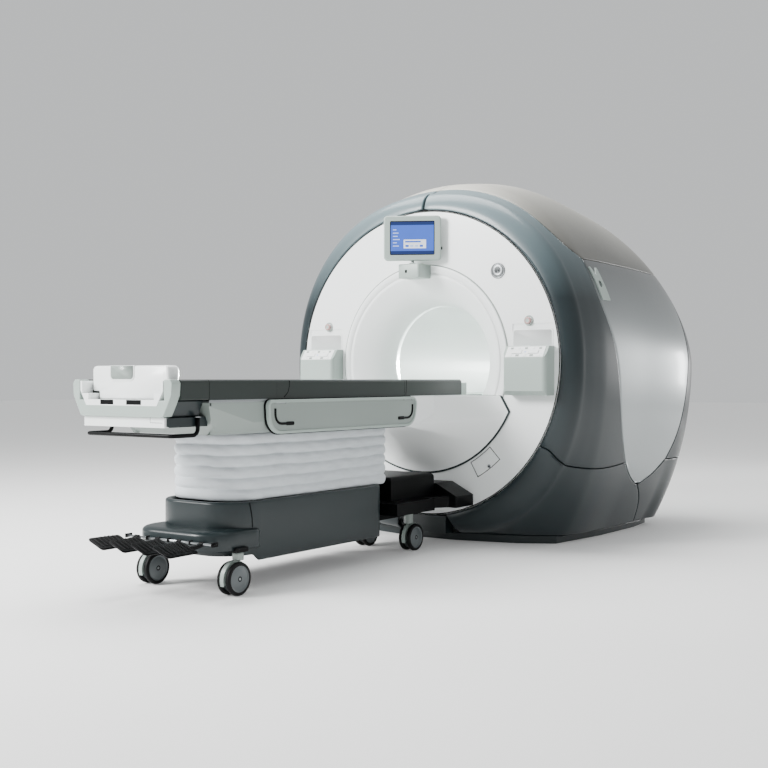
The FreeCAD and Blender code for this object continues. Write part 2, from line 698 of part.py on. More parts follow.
def make_coils():
    start = "vessel_end_gap + 4 * vessel_wall"
    length = "(magnet_length - 2 * vessel_end_gap - 8 * vessel_wall)"
    solids = [bore_cylinder("former", "coil_radius + coil_former", start, length)]
    for number, (place, width) in enumerate(WINDINGS):
        solids.append(bore_cylinder(
            "winding_%d" % number, "coil_radius + coil_former + coil_depth",
            "%s + %g * %s" % (start, place, length), "%g * %s" % (width, length)))
    for number, side in enumerate((-1, 1)):
        solids.append(box("strap_%d" % number, "strap_width", "strap_width",
                          "vessel_radius - vessel_wall - coil_radius - strap_gap", "-strap_width / 2",
                          "%d * saddle_spread / 2 - strap_width / 2" % side,
                          "iso_height + coil_radius"))
    hole = bore_cylinder("former_hole", "coil_radius", 0, "magnet_length")
    part(cut("coils", fuse("coil_solid", *solids), hole), "magnet_coils")

    grip = bore_cylinder("gradient_outer", "vessel_bore - fit_gap", "vessel_end_gap + gradient_inset",
                         "magnet_length - 2 * vessel_end_gap - 2 * gradient_inset")
    room = bore_cylinder("gradient_inner", "vessel_bore - gradient_wall", 0, "magnet_length")
    part(cut("gradient", grip, room), "gradient_coil")


def make_cold_head():
    base = "iso_height + vessel_radius * 0.985"
    foot = cylinder("cold_flange", "cold_head_radius * 1.5", "cold_head_height / 4", 0,
                    depth("cold_head_depth"), base)
    head = cylinder("cold_cylinder", "cold_head_radius", "cold_head_height", 0,
                    depth("cold_head_depth"), base)
    seat = bore_cylinder("cold_seat", "vessel_radius + fit_gap", 0, "magnet_length")
    part(cut("cold_head_solid", fuse("cold_head_body", foot, head), seat), "cold_head")


def make_bore():
    length = "magnet_length - funnel_depth - rear_flare_depth"
    tube = bore_cylinder("liner_tube", "bore_radius + liner_wall", "funnel_depth", length)
    hole = bore_cylinder("liner_hole", "bore_radius", 0, "magnet_length")
    bed = box("liner_bed", "2 * cradle_half_width", "magnet_length - rear_flare_depth + lip_proud",
              "bed_plate", "-cradle_half_width", toward("lip_proud"), "bed_level - bed_plate")
    web_foot = "(iso_height - sqrt(bore_radius ^ 2 - bed_web_x ^ 2) - liner_wall / 2)"
    webs = [box("liner_web_%d" % n, "bed_plate", length, "bed_level - bed_plate - " + web_foot,
                "%d * bed_web_x - bed_plate / 2" % side, depth("funnel_depth"), web_foot)
            for n, side in enumerate((-1, 1))]
    part(fuse("liner", cut("liner_ring", tube, hole), bed, *webs), "bore_liner")

    # front funnel: a proud lip, then a trumpet down to the liner
    mouth_drop = "(funnel_mouth - bore_radius)"
    curve = [(share, "funnel_mouth - %g * %s" % (drop, mouth_drop)) for share, drop in TRUMPET]
    inner = [("%s + %g * funnel_depth" % (FRONT, share), radius) for share, radius in curve]
    outer = [("%s + %g * funnel_depth" % (FRONT, share), radius + " + liner_wall")
             for share, radius in reversed(curve[1:])]
    lip = [(FRONT + " + disc_wall", "funnel_mouth + lip_seat - fit_gap"),
           (FRONT, "funnel_mouth + lip_seat - fit_gap"), (FRONT, "funnel_lip"),
           (FRONT + " - lip_proud", "funnel_lip - lip_proud"),
           (FRONT + " - lip_proud", "funnel_mouth + lip_proud / 2")]
    part(turned("funnel", inner + outer + lip), "bore_funnel")


# the funnel's inner line: depth and closing, as shares of the funnel's own sizes
TRUMPET = ((0.0, 0.0), (0.16, 0.36), (0.36, 0.64), (0.64, 0.86), (1.0, 1.0))


def sector(name, inner, outer, margin, y, length):
    """The access door's ring sector, below the bore's axis; angles turn down from +X."""
    wedge = cylinder(name + "_skin", outer, length, 0, y, "iso_height", "Y")
    bind(wedge, Angle="door_end - door_start + 2 * (%s)" % margin)
    turn = size("door_start") - (size(margin) if margin in cells else 0)
    wedge.Placement.Rotation = Rotation(Vector(1, 0, 0), -90).multiply(Rotation(Vector(0, 0, 1), turn))
    room = cylinder(name + "_room", inner, length, 0, y, "iso_height", "Y")
    return cut(name, wedge, room)


def make_discs():
    rim = "vessel_radius - skirt_inset"
    front = turned("front_plate", [
        (FRONT, "funnel_mouth + lip_seat"), (FRONT, "disc_radius"),
        (FRONT + " + disc_wall", "disc_radius"), (FRONT + " + disc_wall", rim),
        (FRONT + " + vessel_end_gap", rim), (FRONT + " + vessel_end_gap", rim + " - skirt_wall"),
        (FRONT + " + disc_wall", rim + " - skirt_wall"),
        (FRONT + " + disc_wall", "funnel_mouth + lip_seat")])
    cutters = [sector("door_hole", "door_inner - door_gap", "door_outer + door_gap", "door_gap_turn",
                      toward("disc_wall"), "3 * disc_wall")]
    for name, side in (("right", 1), ("left", -1)):
        cutters.append(cylinder("stop_hole_" + name, "stop_stem_radius + running_gap", "3 * disc_wall",
                                "%d * stop_x" % side, toward("disc_wall"), "stop_level", "Y"))
        cutters.append(box("panel_recess_" + name, "pod_outer - pod_inner - 2 * recess_inset",
                           "2 * recess_deep", "recess_top - pod_top",
                           "%d * (pod_inner + pod_outer) / 2 - (pod_outer - pod_inner) / 2"
                           " + recess_inset" % side, toward("recess_deep"), "pod_top"))
    part(cut("front_disc_cut", front, *cutters), "front_disc")

    back = "magnet_length / 2"
    part(turned("rear_plate", [
        (back, "rear_mouth"), (back, "rear_disc_radius"), (back + " - disc_wall", "rear_disc_radius"),
        (back + " - disc_wall", "rear_disc_radius - skirt_inset"),
        (back + " - vessel_end_gap", "rear_disc_radius - skirt_inset"),
        (back + " - vessel_end_gap", "rear_disc_radius - skirt_inset - skirt_wall"),
        (back + " - disc_wall", "rear_disc_radius - skirt_inset - skirt_wall"),
        (back + " - disc_wall", "rear_mouth + disc_wall"),
        (back + " - 0.5 * rear_flare_depth", "bore_radius + 0.25 * (rear_mouth - bore_radius) + liner_wall"),
        (back + " - rear_flare_depth", "bore_radius + liner_wall"),
        (back + " - rear_flare_depth", "bore_radius"),
        (back + " - 0.5 * rear_flare_depth", "bore_radius + 0.25 * (rear_mouth - bore_radius)"),
    ]), "rear_disc")


def make_door():
    part(sector("door_plate", "door_inner", "door_outer", "0", FRONT, "door_wall"), "access_door")


def make_display():
    post = box("mount_block", "mount_width", "mount_reach - lip_proud", "mount_top - mount_bottom",
               "-mount_width / 2 - mount_shift", toward("mount_reach"), "mount_bottom")
    post = rounded("mount_round", post, size("mount_corner"), lambda m, d: abs(d.z) > 0.9
                   and m.y < -size("magnet_length") / 2 - size("mount_reach") / 2)
    pin = cylinder("mount_pin", "display_pin_radius", "display_level - display_height / 2 - mount_top + "
                   "display_pin_reach", 0, toward("display_gap"), "mount_top")
    part(fuse("mount_solid", post, pin), "display_mount")

    body = doc.addObject("PartDesign::Body", "display_body")
    half_w, half_h = "display_width / 2", "display_height / 2"
    outline = polygon(sketch_on(body, "XZ_Plane", "display_outline", "-display_thick / 2"), [
        ("-" + half_w, "-" + half_h), (half_w, "-" + half_h), (half_w, half_h), ("-" + half_w, half_h)])
    pad(body, outline, "display_thick")
    soften(body, "display_corner", lambda m, d: abs(d.y) > 0.9)
    glass = polygon(sketch_on(body, "XZ_Plane", "display_glass", "display_thick / 2"), [
        ("-screen_width / 2", "-screen_height / 2"), ("screen_width / 2", "-screen_height / 2"),
        ("screen_width / 2", "screen_height / 2"), ("-screen_width / 2", "screen_height / 2")])
    pocket(body, glass, "screen_deep")
    socket = sketch_on(body, "XY_Plane", "display_socket", "-display_height / 2")
    socket.addGeometry(Part.Circle(Vector(0, 0, 0), Vector(0, 0, 1), size("display_pin_radius")), False)
    made = socket.addConstraint(Constraint("Radius", 0, size("display_pin_radius")))
    socket.setExpression("Constraints[%d]" % made, bound("display_pin_radius + running_gap"))
    socket.addConstraint(Constraint("Coincident", 0, 3, -1, 1))
    pocket(body, socket, "display_pin_reach + display_pin_gap", True)
    body.Placement.Rotation = Rotation(Vector(0, 0, 1), size("display_pan_rest"))
    placed(body, 0, toward("display_gap"), "display_level")
    part(body, "display")


SLOPE = "atan2(pod_top - pod_front_top; pod_reach - pod_top_reach)"


def on_slope(name, x, width, along, length, lift, thick):
    """A block that lies on the control pod's slanted panel, `lift` above it."""
    obj = doc.addObject("Part::Box", name)
    obj.Placement.Rotation = Rotation(Vector(1, 0, 0), 30)
    bind(obj, Length=width, Width=length, Height=thick)
    bind(obj, Placement__Rotation__Angle=SLOPE)
    y = "-magnet_length / 2 - pod_reach + (%s) * cos(%s) - (%s) * sin(%s)" % (along, SLOPE, lift, SLOPE)
    z = "pod_front_top + (%s) * sin(%s) + (%s) * cos(%s)" % (along, SLOPE, lift, SLOPE)
    return placed(obj, x, y, z)


def make_pods():
    for name, side in (("right", 1), ("left", -1)):
        body = side_profile("pod_" + name, [
            (FRONT, "pod_bottom"), (FRONT, "pod_top"), (toward("pod_top_reach"), "pod_top"),
            (toward("pod_reach"), "pod_front_top"), (toward("pod_reach"), "pod_bottom + pod_chamfer"),
            (toward("pod_reach - pod_chamfer"), "pod_bottom")], "(pod_outer - pod_inner) / 2")
        soften(body, "pod_corner", lambda m, d: abs(d.z) > 0.9 and abs(m.x) > 10
               and m.y < -size("magnet_length") / 2 - 40)
        placed(body, "%d * (pod_inner + pod_outer) / 2" % side)
        pockets = []
        for number, turn in enumerate((-1, 1)):
            middle = "%d * (pod_inner + pod_outer) / 2 + %d * key_spread" % (side, turn)
            gap = "key_travel_gap"
            pockets.append(on_slope("key_room_%s_%d" % (name, number),
                                    "%s - key_width / 2 - %s" % (middle, gap),
                                    "key_width + 2 * " + gap, "key_start - " + gap,
                                    "key_length + 2 * " + gap, "-key_deep", "2 * key_deep"))
            key = on_slope("key_body_%s_%d" % (name, number), middle + " - key_width / 2", "key_width",
                           "key_start", "key_length", "-key_deep + key_travel + " + gap,
                           "key_deep + key_proud - key_travel - " + gap)
            part(key, "%s_key_%s" % (("up", "down")[number], name))
        part(cut("pod_cut_" + name, body, *pockets), "control_pod_" + name)

        head = cylinder("stop_head_" + name, "stop_radius", "stop_proud - stop_travel_gap",
                        "%d * stop_x" % side, toward("stop_proud"), "stop_level", "Y")
        stem = cylinder("stop_stem_" + name, "stop_stem_radius", "stop_proud + disc_wall + 4",
                        "%d * stop_x" % side, toward("stop_proud"), "stop_level", "Y")
        part(fuse("stop_" + name, head, stem), "stop_button_" + name)


# ---------------------------------------------------------------- bridge and dock
def bridge_outline(share):
    """Right half of the bridge's nose, from the disc (share 0) to its tip (share 1)."""
    axis, radius = size("iso_height"), size("bridge_radius")
    corner = Vector(size("bridge_shoulder_x"), 0, size("bridge_shoulder_z"))
    start = math.degrees(math.atan2(corner.z - axis, corner.x))
    points = []
    steps = 8
    for step in range(steps + 1):
        turn = math.radians(-90 + (start + 90) * step / steps)
        points.append(Vector(radius * math.cos(turn), 0, axis + radius * math.sin(turn)))
    points.append(Vector(size("bridge_top_x"), 0, size("bridge_top_z")))
    tip, half, top = size("nose_level"), size("nose_half_width"), size("bridge_top_z")
    ends = []
    for step in range(steps + 1):
        ends.append(Vector(half * min(1.0, 1.7 * step / steps), 0,
                           tip + (size("table_bottom") + 20 - tip) * max(0.0, step / steps - 0.6)))
    ends.append(Vector(half + 30, 0, top))
    blend = share ** 0.62
    return [a + (b - a) * blend for a, b in zip(points, ends)]


def make_bridge():
    face_y = -size("magnet_length") / 2 - size("lip_proud")
    wires = []
    for share in (0.0, 0.12, 0.3, 0.55, 1.0):
        half = bridge_outline(share)
        half[0].x = 0.0
        ring = half + [Vector(-p.x, 0, p.z) for p in reversed(half[1:])]
        y = face_y - share * (size("bridge_nose") - size("lip_proud"))
        wires.append(Part.makePolygon([Vector(p.x, y, p.z) for p in ring] +
                                      [Vector(ring[0].x, y, ring[0].z)]))
    nose = Part.makeLoft(wires, True, True)
    # the deck that carries on from the table, with its rising underside
    dock_y = -size("magnet_length") / 2 - size("table_dock") + size("bridge_gap")
    low, top = size("table_bottom"), size("bed_level")
    front = -size("magnet_length") / 2
    rise = Part.BSplineCurve()
    thin = Vector(0, front - 70, top - size("deck_thin"))
    rise.interpolate([Vector(0, dock_y, low), Vector(0, front - 560, low + 3),
                      Vector(0, front - 300, low + 68), thin])
    corners = [thin, Vector(0, face_y, thin.z), Vector(0, face_y, top), Vector(0, dock_y, top),
               Vector(0, dock_y, low)]
    ring = [rise.toShape()] + [Part.makeLine(a, b) for a, b in zip(corners, corners[1:])]
    half = size("table_half_width")
    deck = Part.Face(Part.Wire(ring)).extrude(Vector(2 * half, 0, 0))
    deck.translate(Vector(-half, 0, 0))
    shape = nose.fuse(deck)
    computed("bridge_shell", max(shape.Solids, key=lambda solid: solid.Volume))

    rails = []
    for side in (-1, 1):
        rail = Part.makeBox(size("rail_width"), face_y - size("bridge_rail_end") - dock_y,
                            size("rail_top") - top,
                            Vector(half - size("rail_width") if side > 0 else -half, dock_y, top))
        edges = [e for e in rail.Edges if abs(e.tangentAt(0).y) > 0.9
                 and e.valueAt(0).x * side > half - 1 and e.valueAt(0).z > size("rail_top") - 1]
        rails.append(rail.makeFillet(size("rail_round"), edges))
    computed("bridge_rails", Part.makeCompound(rails))


def make_dock():
    beam = box("dock_beam", "2 * dock_half_width", "base_dock - dock_start", "wing_top - dock_bottom",
               "-dock_half_width", toward("base_dock"), "dock_bottom")
    block = box("dock_box", "2 * dock_block_half_width", "dock_block_start - dock_start",
                "dock_top - wing_top", "-dock_block_half_width", toward("dock_block_start"), "wing_top")
    block = rounded("dock_round", block, size("dock_corner"),
                    lambda m, d: abs(d.z) < 0.1 and m.z > size("dock_top") - 1)
    wing = box("dock_wing", "2 * wing_half_width", "wing_start - dock_end", "wing_top - wing_bottom",
               "-wing_half_width", toward("wing_start"), "wing_bottom")
    body = fuse("dock_solid", beam, block, wing)
    holes = [cylinder("dock_hole_" + name, "stem_radius + running_gap", "stem_length + stem_end_gap",
                      "%d * dock_caster_x" % side, toward("dock_caster_y"), "wing_bottom")
             for name, side in (("right", 1), ("left", -1))]
    part(cut("dock_cut", body, *holes), "dock_block")

    # the receiver: a flared shelf round the beam, and a housing with sloping shoulders behind it
    body = doc.addObject("PartDesign::Body", "receiver_shelf")
    notch, lug = "(dock_half_width + receiver_gap)", "(dock_half_width + receiver_lug)"
    front, back = toward("dock_end - receiver_gap"), toward("dock_start - receiver_gap")
    right = [(notch, back), (notch, front), (lug, front), ("receiver_half_width", toward("receiver_flare")),
             ("receiver_half_width", toward("fit_gap"))]
    left = [("-" + x, y) for x, y in reversed(right)]
    outline = polygon(sketch_on(body, "XY_Plane", "receiver_outline", "wing_bottom"), right + left)
    pad(body, outline, "wing_top - wing_bottom - receiver_gap")
    housing = doc.addObject("PartDesign::Body", "receiver_housing")
    outline = polygon(sketch_on(housing, "XZ_Plane", "housing_outline", "magnet_length / 2 + fit_gap"), [
        ("-receiver_half_width", "wing_bottom"), ("receiver_half_width", "wing_bottom"),
        ("receiver_half_width", "wing_top - receiver_gap"), ("receiver_shoulder", "receiver_top"),
        ("-receiver_shoulder", "receiver_top"), ("-receiver_half_width", "wing_top - receiver_gap")])
    pad(housing, outline, "dock_start - receiver_gap - fit_gap")
    part(fuse("receiver_solid", body, housing), "dock_receiver")


# ---------------------------------------------------------------- table top
def make_table():
    tub = box("tub_outer", "2 * table_half_width", "table_foot - table_dock",
              "bed_level - frame_plate - table_bottom", "-table_half_width", toward("table_foot"),
              "table_bottom")
    tub = rounded("tub_round", tub, 40, lambda m, d: abs(d.y) > 0.9 and m.z < size("table_bottom") + 1)
    room = box("tub_room", "2 * (table_half_width - table_wall)", "table_foot - table_dock - 2 * table_wall",
               "bed_level", "-table_half_width + table_wall", toward("table_foot - table_wall"),
               "table_bottom + table_wall")
    room = rounded("tub_room_round", room, 32,
                   lambda m, d: abs(d.y) > 0.9 and m.z < size("table_bottom") + size("table_wall") + 1)
    slot = box("tub_slot", "column_width + 4 * column_wall", "column_length + 4 * column_wall",
               "4 * table_wall", "-column_width / 2 - 2 * column_wall",
               toward("column_y + column_length / 2 + 2 * column_wall"), "table_bottom - table_wall")
    pieces = [cut("tub", tub, room, slot)]
    for name, side in (("right", 1), ("left", -1)):
        for number, place in enumerate(HINGES):
            for end in (-1, 1):
                lug = "hinge_length / 2 + lug_gap + lug_length / 2"
                pieces.append(box("lug_%s_%d_%d" % (name, number, end + 1),
                                  "arm_gap + arm_thick / 2 + hinge_radius", "lug_length",
                                  "2 * hinge_radius",
                                  "%s" % ("table_half_width" if side > 0 else
                                          "-table_half_width - arm_gap - arm_thick / 2 - hinge_radius"),
                                  toward("%s - %d * (%s) + lug_length / 2" % (place, end, lug)),
                                  "arm_top - 2 * hinge_radius"))
            pieces.append(cylinder("pin_%s_%d" % (name, number), "hinge_pin",
                                   "hinge_length + 2 * lug_gap + 2 * lug_length", "%d * %s" % (side, ARM_X),
                                   toward("%s + hinge_length / 2 + lug_gap + lug_length" % place),
                                   "arm_top - hinge_radius", "Y"))
    pieces.append(box("table_shelf", "2 * shelf_half_width", "shelf_face - shelf_lip - fit_gap - table_foot",
                      "foot_bottom - fit_gap - shelf_bottom", "-shelf_half_width",
                      toward("shelf_face - shelf_lip - fit_gap"), "shelf_bottom"))
    part(fuse("table_solid", *pieces), "table_body")

    for name, side in (("right", 1), ("left", -1)):
        body = doc.addObject("PartDesign::Body", "arm_" + name)
        outline = polygon(sketch_on(body, "YZ_Plane", "arm_outline_" + name, "-arm_thick / 2"), [
            (toward("arm_foot"), "arm_drop"), (toward("arm_dock"), "arm_drop"),
            (toward("arm_dock"), ARM_EDGE), (toward("arm_foot"), ARM_EDGE)])
        pad(body, outline, "arm_thick")
        soften(body, "arm_corner", lambda m, d: abs(d.x) > 0.9 and m.z < size("arm_drop") + 1)
        placed(body, "%d * %s" % (side, ARM_X))
        pieces, holes = [body], []
        for number, place in enumerate(HINGES):
            end = toward("%s + hinge_length / 2" % place)
            pieces.append(cylinder("knuckle_%s_%d" % (name, number), "hinge_radius", "hinge_length",
                                   "%d * %s" % (side, ARM_X), end, "arm_top - hinge_radius", "Y"))
            pieces.append(box("knuckle_neck_%s_%d" % (name, number), "2 * hinge_radius * 0.9",
                              "hinge_length", "hinge_radius + hinge_drop",
                              "%d * %s - hinge_radius * 0.9" % (side, ARM_X), end, ARM_EDGE + " - 1"))
            holes.append(cylinder("knuckle_hole_%s_%d" % (name, number), "hinge_pin + running_gap",
                                  "hinge_length * 2", "%d * %s" % (side, ARM_X),
                                  toward("%s + hinge_length" % place), "arm_top - hinge_radius", "Y"))
        part(cut("arm_cut_" + name, fuse("arm_solid_" + name, *pieces), *holes), "arm_board_" + name)


ARM_X = "(table_half_width + arm_gap + arm_thick / 2)"
ARM_EDGE = "arm_top - 2 * hinge_radius - hinge_drop"
HINGES = ("arm_foot - hinge_inset", "arm_dock + hinge_inset")


def make_top():
    rails = []
    for name, side in (("right", 1), ("left", -1)):
        x = "table_half_width - rail_width" if side > 0 else "-table_half_width"
        for number, (start, end) in enumerate((("table_foot", "rail_seam + rail_gap"),
                                               ("rail_seam", "table_dock"))):
            rail = box("rail_%s_%d" % (name, number), "rail_width", "%s - (%s)" % (start, end),
                       "rail_top - bed_level", x, toward(start), "bed_level")
            rails.append(rounded("rail_round_%s_%d" % (name, number), rail, size("rail_round"),
                                 lambda m, d, s=side: abs(d.y) > 0.9 and m.z > size("rail_top") - 1
                                 and m.x * s > size("table_half_width") - 1))
    group = doc.addObject("Part::Compound", "rail_group")
    group.Links = rails
    part(group, "table_rails")

    column = box("mast_outer", "column_width", "column_length", "bed_level - frame_plate - mast_bottom",
                 "-column_width / 2", toward("column_y + column_length / 2"), "mast_bottom")
    hollow = box("mast_room", "column_width - 2 * column_wall", "column_length - 2 * column_wall",
                 "bed_level - frame_plate - mast_bottom - column_wall", "-column_width / 2 + column_wall",
                 toward("column_y + column_length / 2 - column_wall"), "mast_bottom")
    plate = box("frame_sheet", "2 * table_half_width", "table_foot - table_dock", "frame_plate",
                "-table_half_width", toward("table_foot"), "bed_level - frame_plate")
    part(fuse("mast", cut("mast_tube", column, hollow), plate), "lift_column")

    shell = box("foot_outer", "2 * table_half_width", "foot_end - table_foot - fit_gap",
                "rail_top - foot_bottom", "-table_half_width", toward("foot_end"), "foot_bottom")
    shell = rounded("foot_round", shell, size("foot_round"),
                    lambda m, d: abs(d.y) > 0.9 and m.z < size("foot_bottom") + 1)
    trough = box("foot_trough", "2 * (table_half_width - rail_width)", "2 * (foot_end - table_foot)",
                 "rail_top", "-table_half_width + rail_width", toward("foot_end + 10"), "bed_level")
    lip = box("foot_lip", "2 * shelf_half_width", "shelf_lip", "foot_bottom - shelf_bottom + 1",
              "-shelf_half_width", toward("shelf_face"), "shelf_bottom")
    part(fuse("foot_solid", cut("foot_cut", shell, trough), lip), "foot_shell")

    slab = box("cradle_slab", "2 * cradle_half_width", "cradle_foot - table_dock - cradle_end_gap",
               "cradle_top - bed_level - slide_gap", "-cradle_half_width", toward("cradle_foot"),
               "bed_level + slide_gap")
    dish = cylinder("cradle_dish_cut", "cradle_dish", "2 * magnet_length", 0, toward("2 * magnet_length"),
                    "cradle_top - cradle_sink + cradle_dish", "Y")
    block = box("grip_block", "2 * block_half_width", "block_length", "block_top - bed_level - slide_gap",
                "-block_half_width", toward("cradle_foot + block_length - 20"), "bed_level + slide_gap")
    block = rounded("grip_round", block, 18, lambda m, d: abs(d.x) > 0.9 and m.z > size("block_top") - 1)
    scoop = cylinder("grip_scoop", "grip_radius", "2 * grip_half_width", "-grip_half_width",
                     toward("cradle_foot + block_length - 20"), "block_top - grip_drop", "X")
    part(fuse("cradle_solid", cut("cradle_board", slab, dish), cut("grip_cut", block, scoop)), "cradle")


def make_handle():
    """A round bar below the foot end; its arms run back and up into the foot shell."""
    front, radius = -size("magnet_length") / 2, size("handle_radius")
    half, level = size("handle_half_width"), size("handle_level")
    root = Vector(half, front - size("handle_root"), size("foot_bottom") + size("handle_seat"))
    knee = Vector(root.x, root.y, level)
    corner = Vector(half, front - size("handle_y"), level)
    path = Part.makePolygon([root, knee, corner] + [Vector(-p.x, p.y, p.z) for p in (corner, knee, root)])
    ring = Part.Wire(Part.makeCircle(radius, root, Vector(0, 0, 1)))
    bar = path.makePipeShell([ring], True, False, 2)
    computed("push_handle", bar)


# ---------------------------------------------------------------- cart
def make_cart():
    plate = box("chassis_sheet", "2 * (base_half_width - base_wall - fit_gap)",
                "base_foot - base_dock - 2 * base_wall - 2 * fit_gap", "chassis_plate",
                "-base_half_width + base_wall + fit_gap", toward("base_foot - base_wall - fit_gap"),
                "chassis_level")
    plate = ends_rounded("chassis", plate, size("base_corner") - size("base_wall"),
                         size("dock_end_corner") - size("base_wall"))
    wing = box("chassis_wing", "2 * (foot_caster_x + fork_crown)", "chassis_wing_length",
               "chassis_plate", "-foot_caster_x - fork_crown",
               toward("foot_caster_y + chassis_wing_length / 2"), "chassis_level")
    beam = box("chassis_beam", "2 * (dock_half_width - base_wall)", "base_dock - dock_start",
               "chassis_plate", "-dock_half_width + base_wall", toward("base_dock + 50"), "chassis_level")
    outer = box("sleeve_outer", "column_width + 2 * (column_wall + column_gap)",
                "column_length + 2 * (column_wall + column_gap)", "column_top - chassis_level",
                "-column_width / 2 - column_wall - column_gap",
                toward("column_y + column_length / 2 + column_wall + column_gap"), "chassis_level")
    inner = box("sleeve_room", "column_width + 2 * column_gap", "column_length + 2 * column_gap",
                "column_top", "-column_width / 2 - column_gap",
                toward("column_y + column_length / 2 + column_gap"), "chassis_level + chassis_plate")
    inner_low = [cylinder("stem_hole_" + name, "stem_radius + running_gap", "stem_length + stem_end_gap",
                          "%d * foot_caster_x" % side, toward("foot_caster_y"), "chassis_level")
                 for name, side in (("right", 1), ("left", -1))]
    part(cut("chassis", fuse("chassis_solid", plate, wing, beam, outer), inner, *inner_low), "cart_chassis")

    # the base cover's two shells, each a hollow box that is open below, rounded at the foot
    shells, rooms = [], []
    for name, half, foot, dock, low, top, corner in (
            ("base", "base_half_width", "base_foot", "base_dock", "base_bottom", "base_top",
             "base_corner"),
            ("apron", "apron_half_width", "apron_foot", "(apron_foot - apron_length)", "apron_bottom",
             "apron_top", "apron_corner")):
        for kind, inset, group in (("skin", 0, shells), ("room", 1, rooms)):
            wall = "%d * base_wall" % inset
            solid = box("%s_%s" % (name, kind), "2 * (%s - %s)" % (half, wall),
                        "%s - %s - 2 * %s" % (foot, dock, wall), "%s - %s" % (top, low),
                        "-(%s) + %s" % (half, wall), toward("%s - %s" % (foot, wall)),
                        "%s - %s" % (low, wall))
            group.append(ends_rounded(solid.Name, solid, size(corner) - inset * size("base_wall"),
                                      size("dock_end_corner") - inset * size("base_wall")))
    arches = [cylinder("arch_" + name, "fork_reach + arch_gap", "chassis_level - base_bottom + 1",
                       "%d * foot_caster_x" % side, toward("foot_caster_y"), "base_bottom - 1")
              for name, side in (("right", 1), ("left", -1))]
    arches.append(box("wing_slot", "2 * (foot_caster_x + fork_crown + fit_gap)",
                      "chassis_wing_length + 2 * fit_gap", "chassis_plate + fit_gap + arch_gap",
                      "-foot_caster_x - fork_crown - fit_gap",
                      toward("foot_caster_y + chassis_wing_length / 2 + fit_gap"),
                      "chassis_level - arch_gap"))
    arches.append(box("toe_gate", "2 * foot_caster_x", "base_corner", "apron_bottom - base_bottom",
                      "-foot_caster_x", toward("base_foot"), "base_bottom - 1"))
    slot = box("base_slot", "column_width + 2 * column_wall + 2 * column_gap + 2 * fit_gap",
               "column_length + 2 * column_wall + 2 * column_gap + 2 * fit_gap", "4 * base_wall",
               "-column_width / 2 - column_wall - column_gap - fit_gap",
               toward("column_y + column_length / 2 + column_wall + column_gap + fit_gap"),
               "base_top - 2 * base_wall")
    gate = box("base_gate", "2 * dock_half_width", "4 * base_wall", "chassis_plate + 2 * fit_gap",
               "-dock_half_width", toward("base_dock + 2 * base_wall"), "chassis_level - fit_gap")
    ears = []
    for number in range(5):
        ears.append(box("pedal_ear_%d" % number, "pedal_ear", "2 * pedal_pivot + 1", "2 * pedal_pivot",
                        "(%d - 2) * pedal_pitch - pedal_ear / 2" % number,
                        toward("apron_foot + 2 * pedal_pivot"), "pedal_level"))
    shaft = cylinder("pedal_shaft", "pedal_shaft_radius", "4 * pedal_pitch", "-2 * pedal_pitch",
                     toward("apron_foot + pedal_pivot"), "pedal_level + pedal_pivot", "X")
    part(fuse("base_solid", cut("base_cut", fuse("base_skins", *shells), *(rooms + arches + [slot, gate])),
              *(ears + [shaft])), "base_cover")

    sleeves = []
    for kind, wall, low, top in (("outer", "0", "base_top", "table_bottom"),
                                 ("room", "bellows_wall", "base_top - bellows_wall",
                                  "table_bottom + bellows_wall")):
        solid = box("bellows_" + kind, "2 * (bellows_half_width - %s)" % wall,
                    "bellows_foot - bellows_dock - 2 * " + wall, "%s - (%s)" % (top, low),
                    "-bellows_half_width + " + wall, toward("bellows_foot - " + wall), low)
        inset = size("bellows_wall") if kind == "room" else 0
        sleeves.append(ends_rounded("bellows_" + kind, solid, size("bellows_corner") - inset,
                                    size("dock_end_corner") - inset))
    part(cut("bellows_solid", *sleeves), "bellows")


def make_pedals():
    for number, name in enumerate(("brake_pedal", "dock_pedal", "raise_pedal", "lower_pedal")):
        middle = "(%d - 1.5) * pedal_pitch" % number
        plate = box(name + "_plate", "pedal_width", "pedal_end - apron_foot - 2 * pedal_pivot - pedal_neck",
                    "pedal_thick", middle + " - pedal_width / 2", toward("pedal_end"), "pedal_level")
        plate = rounded(name + "_round", plate, 10, lambda m, d: abs(d.z) > 0.9)
        arm = box(name + "_arm", "pedal_arm", "pedal_neck + pedal_pivot + 10", "pedal_thick",
                  middle + " - pedal_arm / 2", toward("apron_foot + 2 * pedal_pivot + pedal_neck + 10"),
                  "pedal_level")
        barrel = cylinder(name + "_barrel", "pedal_pivot - fit_gap", "pedal_arm",
                          middle + " - pedal_arm / 2", toward("apron_foot + pedal_pivot"),
                          "pedal_level + pedal_pivot", "X")
        hole = cylinder(name + "_hole", "pedal_shaft_radius + running_gap", "2 * pedal_arm",
                        middle + " - pedal_arm", toward("apron_foot + pedal_pivot"),
                        "pedal_level + pedal_pivot", "X")
        part(cut(name + "_cut", fuse(name + "_solid", plate, arm, barrel), hole), name)


